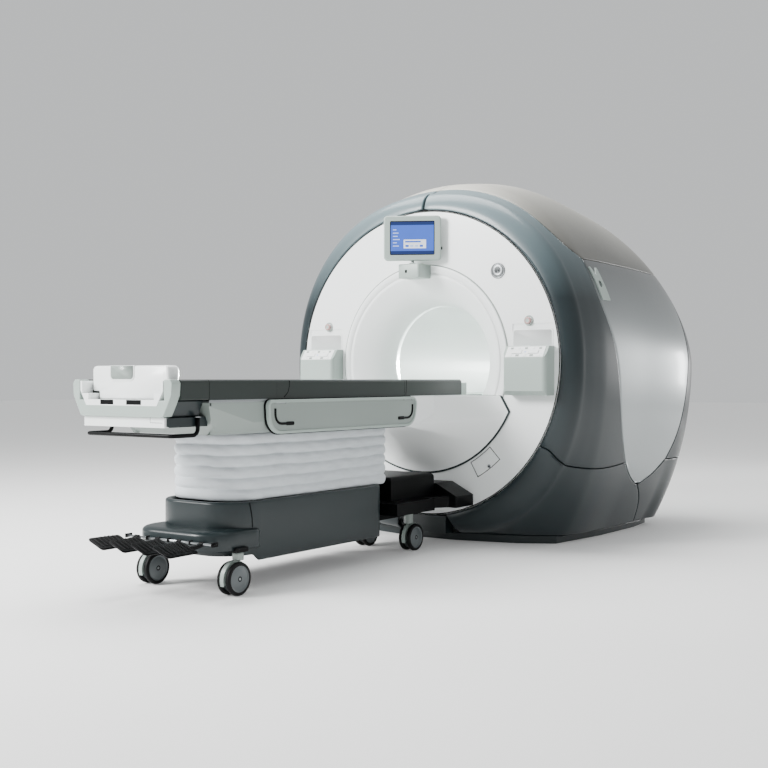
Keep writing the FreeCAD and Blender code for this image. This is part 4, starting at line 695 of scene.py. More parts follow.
def stops(first, second, count):
    """Even steps from 0 to 1, with a step exactly at each sharp corner of two lines."""
    spread = [i / count for i in range(count + 1)]
    for line in (first, second):
        reach = reaches(line)
        for i in range(1, len(line) - 1):
            before_turn = math.atan2(line[i][1] - line[i - 1][1], line[i][0] - line[i - 1][0])
            after_turn = math.atan2(line[i + 1][1] - line[i][1], line[i + 1][0] - line[i][0])
            if abs(math.remainder(after_turn - before_turn, 2 * math.pi)) > 0.25:
                share = reach[i] / reach[-1]
                spread = [s for s in spread if abs(s - share) > 0.4 / count or s in (0, 1)] + [share]
    return sorted(spread)


def patch(front, rear, bottom, top, count=44):
    """Places spread between four border lines of (run, turn)."""
    grid = []
    corner = [bottom[0], bottom[-1], top[0], top[-1]]
    for u in stops(bottom, top, count):
        row = []
        for v in stops(front, rear, count):
            f, r, b, t = along(front, v), along(rear, v), along(bottom, u), along(top, u)
            row.append(tuple(
                (1 - u) * f[k] + u * r[k] + (1 - v) * b[k] + v * t[k] -
                ((1 - u) * (1 - v) * corner[0][k] + u * (1 - v) * corner[1][k] +
                 (1 - u) * v * corner[2][k] + u * v * corner[3][k]) for k in (0, 1)))
        grid.append(row)
    return grid


def outward(run, turn):
    """The direction straight out of the enclosure at a place."""
    run_step, turn_step = 0.002, 0.004
    back = hull_place(min(run + run_step, WHOLE_RUN), turn) - hull_place(max(run - run_step, 0), turn)
    up = hull_place(run, min(turn + turn_step, 1)) - hull_place(run, max(turn - turn_step, -1))
    normal = back.cross(up).normalized()
    if turn > 0.9999:
        normal.x = 0
        normal.normalize()
    return normal


def regions():
    """The borders of each cover: front, rear, bottom and top lines of (run, turn)."""
    first, last = PANEL_CORNERS
    ring = CROWN_SEAM[-1][0]
    front_up = smooth_line(list(reversed(PANEL_FRONT)) + [(first, SEAM_LEVEL)])
    foot, heel = smooth_line(list(reversed(PANEL_FOOT)), 14), smooth_line(PANEL_HEEL, 14)
    rear_up = smooth_line(list(PANEL_REAR) + [(last, SEAM_LEVEL)])
    crown = smooth_line([(first, SEAM_LEVEL)] + list(CROWN_SEAM[1:]), 14) + [(run_at(ring), 1.0)]
    skirt_top, split = smooth_line(SKIRT_SEAM), smooth_line(SKIRT_SPLIT, 10)
    toe = [on_hull(d, z + TOE_GAP) for d, z in (PANEL_FOOT[-1], PANEL_HEEL[0])]

    def level(start, end, height, count=16):
        return [on_hull(start + (end - start) * i / count, height) for i in range(count + 1)]

    def straight(a, b, count=16):
        return [(a[0] + (b[0] - a[0]) * i / count, a[1] + (b[1] - a[1]) * i / count)
                for i in range(count + 1)]
    panel_top, rear_top = level(first, last, SEAM_LEVEL), level(last, LENGTH, SEAM_LEVEL)
    rear_low = level(PANEL_REAR[0][0], LENGTH, PANEL_REAR[0][1])
    front_edge, rear_edge = (0.0, 1.0), (WHOLE_RUN, 1.0)
    return {
        "ring_cover": (straight(skirt_top[0], front_edge), front_up + crown[1:], skirt_top,
                       straight(front_edge, crown[-1])),
        "lower_cover": (straight((0.0, -1.0), skirt_top[0]), split + foot,
                        straight((0.0, -1.0), split[0]), skirt_top),
        "side_panel": (toe[:1] + foot[1:] + front_up[1:], toe[1:] + heel[1:] + rear_up[1:],
                       straight(*toe), panel_top),
        "top_cover": (crown, straight(rear_top[-1], rear_edge), panel_top + rear_top[1:],
                      straight(crown[-1], rear_edge)),
        "rear_cover": (rear_up, straight(rear_low[-1], rear_top[-1]), rear_low, rear_top),
        "rear_skirt": (split + heel, straight((WHOLE_RUN, -1.0), rear_low[-1]),
                       straight(split[0], (WHOLE_RUN, -1.0)), rear_low),
    }


COVER_FINISH = {"ring_cover": "slate", "lower_cover": "slate", "side_panel": "silver",
                "top_cover": "warm_white", "rear_cover": "slate", "rear_skirt": "slate"}
CROWN_GAP = 0.012
COVER_WALL = 0.016
ROLL_STEPS = 4


def edge_draws(points, normals, border):
    """At each place of the border, the direction along the surface and away from the edge."""
    last_u, last_v = len(points) - 1, len(points[0]) - 1
    draws = []
    for k, (i, j) in enumerate(border):
        steps = []
        if i in (0, last_u):
            steps.append(points[1 if i == 0 else last_u - 1][j] - points[i][j])
        if j in (0, last_v):
            steps.append(points[i][1 if j == 0 else last_v - 1] - points[i][j])
        if len(steps) == 1:
            back, ahead = border[k - 1], border[(k + 1) % len(border)]
            tangent = points[ahead[0]][ahead[1]] - points[back[0]][back[1]]
            across = normals[i][j].cross(tangent).normalized()
            draws.append(across if across.dot(steps[0]) > 0 else -across)
        else:
            draws.append(steps[0].normalized() + steps[1].normalized())
    return draws


def draw_cover(name, lines, side):
    """A cover's smooth outer skin, its rolled edge all round, and the wall behind the seam."""
    grid = patch(*lines)
    points = [[hull_place(*place) for place in row] for row in grid]
    normals = [[outward(*place) for place in row] for row in grid]
    last_u, last_v = len(points) - 1, len(points[0]) - 1
    border = ([(i, 0) for i in range(last_u)] + [(last_u, j) for j in range(last_v)] +
              [(i, last_v) for i in range(last_u, 0, -1)] + [(0, j) for j in range(last_v, 0, -1)])
    crown_gap = CROWN_GAP / 2 if name == "ring_cover" else 0
    gap, roll = sizes().seam / 2, sizes().cover_roll
    edge_points = []
    for (i, j), draw in zip(border, edge_draws(points, normals, border)):
        extra = crown_gap if j == last_v else 0
        edge_points.append((points[i][j] + draw * (gap + extra), normals[i][j], draw))
    for (i, j), (start, _, draw) in zip(border, edge_points):
        points[i][j] = start + draw * roll
    shape = Shape(COVER_FINISH[name])

    def ring(places):
        return shape.ring([(side * p.x, p.y, p.z) for p in places])

    def face(*corners):
        shape.face(corners if side > 0 else corners[::-1])
    numbers = [ring(row) for row in points]
    for i in range(last_u):
        for j in range(last_v):
            face(numbers[i][j], numbers[i + 1][j], numbers[i + 1][j + 1], numbers[i][j + 1])
    rings = [[numbers[i][j] for i, j in border]]
    for step in range(1, ROLL_STEPS + 1):
        turn = math.pi / 2 * step / ROLL_STEPS
        rings.append(ring([p + draw * roll * (1 - math.sin(turn)) - n * roll * (1 - math.cos(turn))
                           for p, n, draw in edge_points]))
    rings.append(ring([p - n * COVER_WALL for p, n, _ in edge_points]))
    for low, high in zip(rings, rings[1:]):
        for k in range(len(border)):
            nxt = (k + 1) % len(border)
            face(low[k], high[k], high[nxt], low[nxt])
    node = "%s_%s" % (name, "right" if side > 0 else "left")
    return shape.made(node + "_skin", "magnet", [node], COVER_FINISH[name], tidy=False)


# ---------------------------------------------------------------- bore, discs and door
BORE, MOUTH, LIP = 0.350, 0.520, BOX["bore_funnel"][1].x
FUNNEL_DEPTH, REAR_FLARE, LIP_PROUD, WALL = 0.260, 0.150, 0.008, 0.008
BADGE_PLACE, BADGE_RADIUS = (0.512, FACE, 1.580), 0.045


def draw_funnel():
    """The proud lip with its inner seam, then the trumpet that narrows to the liner."""
    lip = arc((before(LIP_PROUD - 0.006), LIP - 0.006), 0.006, 90, 180, 5)
    seam = MOUTH + 0.014
    groove = [(before(LIP_PROUD), seam + 0.002), (before(LIP_PROUD - 0.005), seam + 0.0015),
              (before(LIP_PROUD - 0.005), seam - 0.0015), (before(LIP_PROUD), seam - 0.002)]
    trumpet = [(before(LIP_PROUD) + (FUNNEL_DEPTH + LIP_PROUD) * s,
                BORE + (seam - 0.012 - BORE) * (1 - s) ** 2.3) for s in
               (0.012, 0.03, 0.06, 0.1, 0.15, 0.2, 0.27, 0.35, 0.45, 0.56, 0.7, 0.85, 1.0)]
    back = [(FACE + FUNNEL_DEPTH, BORE + WALL), (FACE + FUNNEL_DEPTH * 0.36, BORE + 0.075),
            (FACE + 0.012, MOUTH + 0.01), (FACE, LIP - 0.001)]
    shape = Shape("white")
    shape.lathe([(FACE, LIP)] + lip + groove + trumpet + back, (0, 0, AXIS), (0, 1, 0), 160, loop=True)
    shape.made("bore_mouth", "magnet", ["bore_funnel"], "white")


def draw_liner():
    """The smooth bore tube with the bed plate and its two webs."""
    start, end = FACE + FUNNEL_DEPTH, -FACE - REAR_FLARE
    shape = Shape("white", "pale")
    shape.lathe([(start, BORE), (end, BORE), (end, BORE + WALL), (start, BORE + WALL)],
                (0, 0, AXIS), (0, 1, 0), 160, loop=True)
    half, thick, web = 0.255, 0.012, 0.195
    shape.block((-half, before(LIP_PROUD), BED - thick), (half, end + LIP_PROUD, BED), 1)
    foot = AXIS - math.sqrt(BORE ** 2 - web ** 2)
    for side in (-1, 1):
        shape.block((side * web - thick / 2, start, foot - WALL / 2),
                    (side * web + thick / 2, end, BED - thick), 1)
    shape.made("bore_tube", "magnet", ["bore_liner"], "white", 0.0015)


def draw_disc_marks():
    """The plain badge disc, the thin ring at the lip, and a dark ring at the disc's rim that paints the
    shadow in the gap to the ring cover.
    """
    shape = Shape("badge")
    radius = BADGE_RADIUS
    shape.lathe([(0, 0.0001), (0.0045, 0.0001), (0.0055, radius * 0.8), (0.004, radius * 0.84),
                 (0.004, radius * 0.9), (0.006, radius * 0.93), (0.005, radius), (0, radius)],
                BADGE_PLACE, (0, -1, 0), 64)
    shape.made("badge_disc", "magnet")
    lines = Shape("mid_gray", "dark_metal")
    # the second ring is painted shadow: a dark band for the gap round the disc
    for radius, wide, mark in ((LIP + 0.0006, 0.0060, 0), (DISC - 0.0062, 0.0060, 1)):
        lines.lathe([(0.001, radius), (-0.0008, radius), (-0.0008, radius + wide), (0.001, radius + wide)],
                    (0, FACE, AXIS), (0, 1, 0), 192, mark, loop=True)
    lines.made("disc_rings", "magnet")


DOOR_INNER, DOOR_OUTER, DOOR_START, DOOR_END = 0.668, 0.765, 46.6, 60.3
DOOR_LATCH, DOOR_PROUD = (0.455, 0.462), 0.0026


def draw_door():
    """The access door: a ring sector drawn in from a dark surround that paints the shade in the gap round it,
    with a turn latch.
    """
    def sector(grow):
        turn = math.degrees(grow / DOOR_INNER)
        start, end = -DOOR_END - turn, -DOOR_START + turn
        return (arc((0, AXIS), DOOR_OUTER + grow, start, end, 10) +
                arc((0, AXIS), DOOR_INNER - grow, end, start, 10))

    def place(u, v, w):
        return (u, FACE - w, v)
    shape = Shape("white", "dark_metal", "steel")
    shape.terrace(sector(-0.0034), [(0, -0.006), (0, 0.0008), (0.002, 0.0022), (0.005, DOOR_PROUD)],
                  place, 0)
    # painted shade: a dark plate behind the leaf so the gap round the door reads dark
    shape.terrace(sector(0.0006), [(0, -0.0058), (0, 0.0006)], place, 1)
    middle = Vector((DOOR_LATCH[0], FACE - DOOR_PROUD, DOOR_LATCH[1]))
    shape.lathe([(0, 0.0105), (0.0012, 0.0105), (0.0018, 0.009), (0.0018, 0.0001)], middle,
                (0, -1, 0), 32, 2)
    shape.block(middle + Vector((-0.008, -0.0032, -0.0016)),
                middle + Vector((0.008, -0.0015, 0.0016)), 1)
    shape.made("door_leaf", "door", ["access_door"], "white")


def draw_pocket(name):
    """The shallow field on the disc above a control pod, with its raised frame; the field's gray, darkening
    upward, is painted shade in the pocket.
    """
    low, high = BOX["control_pod_" + name]
    x0, x1, z0, z1 = low.x + 0.006, high.x - 0.006, high.z - 0.004, high.z + 0.100
    frame_line = rounded([(x0, z0), (x1, z0), (x1, z1), (x0, z1)], [0.004, 0.004, 0.020, 0.020])

    def place(u, v, w):
        return (u, FACE - w, v)
    shape = Shape("white", "pocket_gray")
    shape.terrace(frame_line, [(0, 0), (0.001, 0.0022), (0.005, 0.0026), (0.008, 0.0008)], place, 0)
    field = rounded([(x0 + 0.009, z0), (x1 - 0.009, z0), (x1 - 0.009, z1 - 0.009), (x0 + 0.009, z1 - 0.009)],
                    [0.003, 0.003, 0.012, 0.012])
    # painted shade: the field is gray to show the pocket's shade
    shape.terrace(field, [(0, 0.0005), (0.001, 0.0012)], place, 1)
    shape.made("pod_field_" + name, "magnet", slot="white")


def draw_stop_button(name):
    """A flat-domed push cap on its stem, inside a collar."""
    node = "stop_button_" + name
    low, high = BOX[node]
    centre = Vector(((low.x + high.x) / 2, 0, (low.z + high.z) / 2))
    radius, tip = (high.x - low.x) / 2, low.y
    shape = Shape("stop_red", "steel", "pale")
    dome = [(tip + 0.0015, radius * 0.55), (tip + 0.0005, radius * 0.62), (tip + 0.001, radius * 0.86),
            (tip + 0.004, radius), (tip + 0.013, radius * 0.97), (tip + 0.014, 0.009)]
    shape.lathe([(tip + 0.002, 0.0001), (tip + 0.0015, radius * 0.55)], centre, (0, 1, 0), 48, 2)
    shape.lathe(dome, centre, (0, 1, 0), 48)
    shape.lathe([(tip + 0.013, 0.008), (high.y, 0.008), (high.y, 0.0001)], centre, (0, 1, 0), 32, 1)
    shape.made(node + "_cap", "stop_" + name, [node], "stop_red")
    ring = Shape("pale")
    ring.lathe([(FACE, 0.030), (FACE - 0.003, 0.029), (FACE - 0.004, 0.026), (FACE - 0.0015, 0.0225),
                (FACE, 0.0215)], centre, (0, 1, 0), 64)
    ring.made("stop_collar_" + name, "magnet")


# ---------------------------------------------------------------- display
DISPLAY_TURN = math.radians(30)
DISPLAY_WIDTH, DISPLAY_THICK, DISPLAY_AHEAD = 0.337, 0.048, 0.112
SCREEN_WIDTH, SCREEN_HEIGHT, SCREEN_DROP = 0.263, 0.200, 0.003
LIST_ROWS = (0.14, 0.09, 0.16, 0.11, 0.13, 0.08)


def draw_display():
    """Bezel with a sunken screen, its fields of colour, a side knob and a vented back."""
    mount_low, mount_high = BOX["display_mount"]
    low, high = BOX["display"]
    width, tall, thick = DISPLAY_WIDTH, high.z - low.z, DISPLAY_THICK
    centre = Vector((0, before(DISPLAY_AHEAD), (low.z + high.z) / 2))
    turn = Matrix.Rotation(DISPLAY_TURN, 3, "Z")

    def place(u, v, out):
        return centre + turn @ Vector((u, -out, v))
    half_w, half_h = width / 2, tall / 2
    frame_line = rounded([(-half_w, -half_h), (half_w, -half_h), (half_w, half_h), (-half_w, half_h)], 0.022)
    screen_w, screen_h, drop = SCREEN_WIDTH / 2, SCREEN_HEIGHT / 2, SCREEN_DROP
    shape = Shape("pale", "dark_metal", "screen_field", "screen_bar", "screen_window", "screen_mark")
    shape.terrace(frame_line, [(0.012, -thick / 2), (0.003, -thick / 2 + 0.005), (0, -thick / 2 + 0.012),
                               (0, thick / 2 - 0.008), (0.0025, thick / 2 - 0.002),
                               (0.007, thick / 2)], place, 0, (True, False))
    opening = rounded([(-screen_w, -screen_h), (screen_w, -screen_h), (screen_w, screen_h),
                       (-screen_w, screen_h)], 0.008)
    outer = shape.ring([place(u, v, thick / 2) for u, v in inset(frame_line, 0.007)])
    inner = shape.ring([place(u, v, thick / 2) for u, v in opening])
    shape.skin([outer, inner])
    shape.terrace(opening, [(0, thick / 2), (0.0015, thick / 2 - drop), (0.005, thick / 2 - drop)],
                  place, 1, (False, True))
    glass = thick / 2 - drop + 0.0006

    def field(left, low_share, right, high_share, mark, lift=0.0):
        inner_w, inner_h = screen_w - 0.005, screen_h - 0.005
        corners = [(left, low_share), (right, low_share), (right, high_share), (left, high_share)]
        shape.face(shape.ring([place(-inner_w + 2 * inner_w * u, -inner_h + 2 * inner_h * v, glass + lift)
                               for u, v in corners]), mark)
    ground, bar, window, dash = 2, 3, 4, 5
    step = 0.0003
    field(0, 0, 1, 1, ground)
    field(0, 0.90, 1, 1, bar, step)
    field(0, 0, 1, 0.10, bar, step)
    field(0.30, 0.18, 0.82, 0.45, window, step)
    field(0.33, 0.36, 0.70, 0.41, ground, 2 * step)
    for row, wide in enumerate(LIST_ROWS):
        field(0.05, 0.24 + row * 0.1, 0.05 + wide, 0.27 + row * 0.1, dash, step)
    for column, mark in enumerate((ground, dash, dash, ground)):
        field(0.34 + column * 0.11, 0.22, 0.42 + column * 0.11, 0.29, mark, 2 * step)
    shape.lathe([(0, 0.0001), (0.006, 0.0001), (0.007, 0.007), (0.005, 0.009), (0, 0.009)],
                place(half_w, -half_h * 0.45, 0), turn @ Vector((1, 0, 0)), 24, 1)
    for slot_number in range(7):
        at = -0.06 + slot_number * 0.02
        shape.loft([[place(at + du, v, -thick / 2 - out) for du, out in
                     ((-0.004, -0.004), (0.004, -0.004), (0.003, 0.0015), (-0.003, 0.0015))]
                    for v in (-0.05, 0.05)], mark=1)
    shape.made("display_panel", "display_head", ["display"], "pale")

    arm = Shape("pale", "dark_metal", "steel")
    low, high = mount_low, mount_high
    block_top = AXIS + 0.580
    outline = rounded([(low.x, low.y), (high.x, low.y), (high.x, high.y), (low.x, high.y)],
                      [0.014, 0.014, 0, 0])
    arm.terrace(outline, [(0.006, low.z), (0.0015, low.z + 0.0015), (0, low.z + 0.006),
                          (0, block_top - 0.006), (0.0015, block_top - 0.0015), (0.006, block_top)],
                lambda u, v, w: (u, v, w))
    arm.block((low.x + 0.052, low.y - 0.0006, low.z + 0.030),
              (low.x + 0.066, low.y + 0.002, low.z + 0.048), 1)
    arm.lathe([(block_top - 0.001, 0.022), (block_top + 0.004, 0.020), (block_top + 0.006, 0.013),
               (block_top + 0.006, 0.0001)], (0, before(DISPLAY_AHEAD), 0), (0, 0, 1), 48)
    arm.lathe([(block_top, 0.009), (high.z, 0.009), (high.z, 0.0001)],
              (0, before(DISPLAY_AHEAD), 0), (0, 0, 1), 32, 2)
    arm.made("display_bracket", "magnet", ["display_mount"], "pale")


# ---------------------------------------------------------------- control pods
POD_REACH, POD_TOP_REACH = 0.110, 0.062
POD_SHOULDER, POD_CREST = AXIS + 0.018, AXIS + 0.086
KEY_START, KEY_LENGTH, KEY_WIDTH, KEY_SPREAD = 0.030, 0.022, 0.060, 0.052


def draw_keypad(name):
    """The slanted keypad of a control pod: a plate round the two keys, with small touch marks."""
    low, high = BOX["control_pod_" + name]
    middle = (low.x + high.x) / 2
    rise, run = POD_CREST - POD_SHOULDER, POD_REACH - POD_TOP_REACH
    slope = math.hypot(rise, run)
    up = Vector((0, run, rise)) / slope
    out = Vector((0, -rise, run)) / slope
    start = Vector((middle, before(POD_REACH), POD_SHOULDER))

    def slab(shape, u0, u1, v0, v1, lift, mark=0):
        base = [start + Vector((u, 0, 0)) + up * v for u, v in ((u0, v0), (u1, v0), (u1, v1), (u0, v1))]
        shape.loft([[p + out * h for p in base] for h in (-0.001, lift)], mark=mark)
    shape = Shape("key_white", "mid_gray", "screen_mark")
    wide, free = 0.118, 0.0016
    key_low, key_high = KEY_START - free, KEY_START + KEY_LENGTH + free
    slab(shape, -wide, wide, 0.007, key_low, 0.002)
    slab(shape, -wide, wide, key_high, slope - 0.005, 0.002)
    inner, outer = KEY_SPREAD - KEY_WIDTH / 2 - free, KEY_SPREAD + KEY_WIDTH / 2 + free
    for u0, u1 in ((-wide, -outer), (-inner, inner), (outer, wide)):
        slab(shape, u0, u1, key_low, key_high, 0.002)
    for column in range(5):
        at = -0.088 + column * 0.044
        slab(shape, at - 0.010, at + 0.010, 0.011, 0.023, 0.0045, 1 if column % 2 else 0)
        slab(shape, at - 0.008, at + 0.008, 0.060, 0.071, 0.0045, 0 if column % 2 else 1)
    slab(shape, -0.006, 0.006, 0.037, 0.045, 0.0032, 2)
    shape.made("keypad_" + name, "magnet", edge=0.0012)
    for key in ("up", "down"):
        dress("key_white", "%s_key_%s" % (key, name), edge=0.0015)


# ---------------------------------------------------------------- bridge
def bridge_outline(share, steps=12):
    """Right half of the bridge's nose, from the disc (share 0) to its tip (share 1)."""
    corner = (0.585, AXIS - 0.284)
    radius, top = 0.650, BED - 0.004
    start = math.degrees(math.atan2(corner[1] - AXIS, corner[0]))
    points = arc((0, AXIS), radius, -90, start, steps) + [(0.530, top)]
    tip, half, lower = BED - 0.172, 0.230, BOX["table_body"][0].z
    ends = [(half * min(1.0, 1.7 * i / steps), tip + (lower + 0.020 - tip) * max(0.0, i / steps - 0.6))
            for i in range(steps + 1)] + [(half + 0.030, top)]
    blend = share ** 0.62
    return [(a[0] + (b[0] - a[0]) * blend, a[1] + (b[1] - a[1]) * blend) for a, b in zip(points, ends)]


def draw_bridge():
    """The dished nose that joins the bore to the table, a dark rim that paints the shadow in the gap where it
    meets the disc, and the deck above.
    """
    face, nose = before(LIP_PROUD), 0.500
    shape = Shape("white", "dark_gray", "pale")
    sections = []
    for share in (0.0, 0.03, 0.08, 0.15, 0.24, 0.35, 0.48, 0.62, 0.78, 0.9, 1.0):
        half = bridge_outline(share)
        ring = half + [(-x, z) for x, z in reversed(half[1:])]
        y = face - share * (nose - LIP_PROUD)
        sections.append([(x, y, z) for x, z in ring])
    shape.loft(sections)
    # painted shadow: a dark band round the nose where it meets the disc
    rim = bridge_outline(0.0, 40)
    rim = rim + [(-x, z) for x, z in reversed(rim[1:])]
    grow = [Vector((x, z)) - Vector((0, AXIS - 0.35)) for x, z in rim]
    outer = [(x + g.normalized().x * 0.009, z + g.normalized().y * 0.009) for (x, z), g in zip(rim, grow)]
    shape.loft([[(x, FACE - d, z) for x, z in outer] for d in (0.0, 0.009)], mark=1)
    table_end, under = BOX["bridge_shell"][0].y, BOX["table_body"][0].z
    thin = BED - 0.022
    underside = spline([(table_end, under), (before(0.560), under + 0.003), (before(0.300), under + 0.068),
                        (before(0.070), thin)], 20)
    profile = [(float(y), float(z)) for y, z in underside] + [(face, thin), (face, BED), (table_end, BED)]
    half = TABLE - 0.0005
    shape.loft([[(x, y, z) for y, z in profile] for x in (-half, half)], mark=0)
    rail_end = BOX["bridge_rails"][1].y
    for side in (-1, 1):
        x0, x1 = sorted((side * (half - 0.052), side * half))
        shape.block((x0, rail_end + 0.0012, BED), (x1, face, BED + 0.070), 2)
    shape.made("bridge", "magnet", ["bridge_shell"], "white", 0.004)


# ---------------------------------------------------------------- table
TABLE_FOOT, TABLE_DOCK = 2.130, 0.652
CREASE_START, CREASE_RUN, CREASE_LOW, CREASE_CLIMB = 1.847, 0.280, 0.050, 0.077
RAIL_SEAMS = ((1.600, 0.040), (0.632, 0.006))
ARM_HINGES, PIN_OUT, PIN_DROP = (1.690, 0.650), 0.017, 0.015


def draw_rail_seams():
    """The curved joints where the rails meet end to end."""
    shape = Shape("dark_metal")
    for side in (-1, 1):
        for at, lean in RAIL_SEAMS:
            path = [(0, BED + 0.084), (0.04, BED + 0.055), (0.3, BED + 0.028), (1, BED + 0.006)]
            shape.tube([Vector((side * (TABLE - 0.0012), before(at + lean * s_), z)) for s_, z in path],
                       0.0026, 10)
    shape.made("rail_joints", "lift")


def lower_crease(distance):
    """Level of the crease along the table's side: it climbs toward the foot end."""
    under = BOX["table_body"][0].z
    climb = max(0.0, min(1.0, (distance - CREASE_START) / CREASE_RUN))
    return under + CREASE_LOW + CREASE_CLIMB * climb


def draw_table_body():
    """The table's tub: upright sides over an inward-leaning belly that rises at the foot end."""
    under, top, half = BOX["table_body"][0].z, BED - 0.012, TABLE
    shape = Shape("mid_gray", "dark_gray", "steel", "white")
    sections = []
    for distance in (TABLE_DOCK, 0.9, 1.3, 1.7, CREASE_START, 1.92, 1.99, 2.06, TABLE_FOOT):
        crease = lower_crease(distance)
        lean = 0.045 + 0.030 * max(0, distance - CREASE_START) / CREASE_RUN

        def back(z):
            return before(distance - (0.086 * (1 - (z - under) / (crease - under))
                                      if distance == TABLE_FOOT and z < crease else 0))
        right = [(half, top), (half, crease + 0.004), (half - 0.002, crease),
                 (half - lean * 0.5, under + (crease - under) * 0.35), (half - lean, under + 0.003),
                 (half - lean - 0.012, under)]
        sections.append([(x, back(z), z) for x, z in right])
    thick = 0.012
    for side in (-1, 1):
        shape.loft([[(side * x, y, z) for x, y, z in line] +
                    [(side * (x - thick), y, z) for x, y, z in reversed(line)] for line in sections])
    for line, inward in ((sections[0], -thick), (sections[-1], thick)):
        whole = line + [(-x, y, z) for x, y, z in reversed(line)]
        shape.loft([whole, [(x, y + inward, z) for x, y, z in whole]])
    shelf = BOX["foot_shell"][0].y + 0.040
    shape.block((-0.250, shelf, 0.757), (0.250, before(TABLE_FOOT - 0.05), 0.7995), 1)
    for side in (-1, 1):
        for hinge in ARM_HINGES:
            for end in (-1, 1):
                at = before(hinge + end * 0.0363)
                x0, x1 = sorted((side * half, side * (half + 0.026)))
                shape.block((x0, at - 0.006, BED - 0.024), (x1, at + 0.006, BED - 0.006), 0)
            shape.tube([Vector((side * (half + PIN_OUT), before(hinge) + d, BED - PIN_DROP))
                        for d in (-0.0423, 0.0423)], 0.004, 12, 2)
    shape.made("table_tub", "lift", ["table_body"], "mid_gray", 0.003)


ARM_FOOT, ARM_DOCK = 1.780, 0.560


def draw_arm_board(name, side):
    """A hinged side board: a low rim round its field, a curved grip groove at each end drawn as a dark bar
    and cup that paint the groove's shade.
    """
    node = "arm_board_" + name
    low, high = BOX[node]
    back, front = sorted((abs(low.x), abs(high.x)))
    top, base, thick = BED - 0.0042, low.z, front - back
    outline = rounded([(before(ARM_FOOT), top), (before(ARM_FOOT - 0.012), base),
                       (before(ARM_DOCK + 0.030), base), (before(ARM_DOCK), top)],
                      [0.030, 0.085, 0.085, 0.040], 10)

    def place(u, v, w):
        return (side * (back + w), u, v)
    shape = Shape("pale", "mid_gray", "steel", "dark_metal")
    shape.terrace(outline, [(0.003, 0.0), (0, 0.003), (0, thick - 0.004), (0.0015, thick - 0.0012),
                            (0.005, thick), (0.012, thick), (0.014, thick - 0.003),
                            (0.0145, thick - 0.006)], place, 0, (True, False))
    shape.terrace(outline, [(0.0145, thick - 0.006), (0.017, thick - 0.0058)], place, 1, (False, True))
    level = base + 0.046
    # painted shade: each grip groove is a dark bar and a dark cup standing for the groove's shade
    for foot, reach in ((ARM_FOOT - 0.052, 1), (ARM_DOCK + 0.050, -1)):
        round_ = 0.045
        path = [(before(foot), top - 0.040), (before(foot), level + round_)]
        path += [(before(foot - reach * round_ * (1 - math.cos(t))), level + round_ * (1 - math.sin(t)))
                 for t in (0.3, 0.6, 0.9, 1.2, math.pi / 2)]
        path += [(before(foot - reach * 0.125), level)]
        shape.tube([Vector((side * (front - 0.0055), y, z)) for y, z in path], 0.0060, 12, 3)
        end = before(foot - reach * 0.105)
        cup = rounded([(end - 0.030, level - 0.009), (end + 0.030, level - 0.009),
                       (end + 0.030, level + 0.009), (end - 0.030, level + 0.009)], 0.008)
        shape.terrace(cup, [(0, thick - 0.007), (0, thick - 0.0042), (0.002, thick - 0.0032)], place, 3)
    for hinge in ARM_HINGES:
        y0, y1 = before(hinge) - 0.030, before(hinge) + 0.030
        shape.lathe([(y0, 0.005), (y0, 0.009), (y1, 0.009), (y1, 0.005)],
                    (side * (TABLE + PIN_OUT), 0, BED - PIN_DROP), (0, 1, 0), 24, 2)
    shape.made(node + "_panel", "arm_" + name, [node], "pale", 0.0012)

    # painted shadow: a dark plate on the table side round the board, standing for the shadow in the gap where
    # it sits
    gap_shadow = Shape("dark_metal")
    gap_shadow.terrace(outline, [(-0.0045, TABLE - back - 0.001), (-0.0045, TABLE - back + 0.002),
                           (-0.002, TABLE - back + 0.003)], place)
    gap_shadow.made("arm_seat_" + name, "lift", slot="dark_metal")


CRADLE_HALF, CRADLE_FOOT, GRIP_BACK = 0.255, 2.230, 2.235


def draw_cradle():
    """The dished board the patient lies on, with its grip block and finger recess."""
    low, high = BOX["cradle"]
    half, base, rim, sink, dish = CRADLE_HALF, low.z, BED + 0.078, 0.040, 0.900
    shape = Shape("white", "pale", "dark_metal")
    start, end = before(CRADLE_FOOT), high.y

    def dished(x):
        return rim - sink + dish - math.sqrt(dish ** 2 - x ** 2)
    top_line = []
    for i in range(25):
        x = half - 0.004 - (2 * half - 0.008) * i / 24
        top_line.append((x, min(dished(x), rim)))
    edge = dished(half) - 0.004
    section = [(-half + 0.004, base), (half - 0.004, base), (half, base + 0.004), (half, edge)]
    section += top_line + [(-half, edge), (-half, base + 0.004)]
    shape.loft([[(x, y, z) for x, z in section] for y in
                (start, start + 0.004, end - 0.03, end - 0.004, end)])
    shape.made("cradle_board", "cradle_body", ["cradle"], "white", 0.002)

    draw_grip(low, high, base)


GRIP_HALF, GRIP_ROOT, GRIP_SHOULDER, GRIP_FREE = 0.238, 0.196, BED + 0.036, 0.008


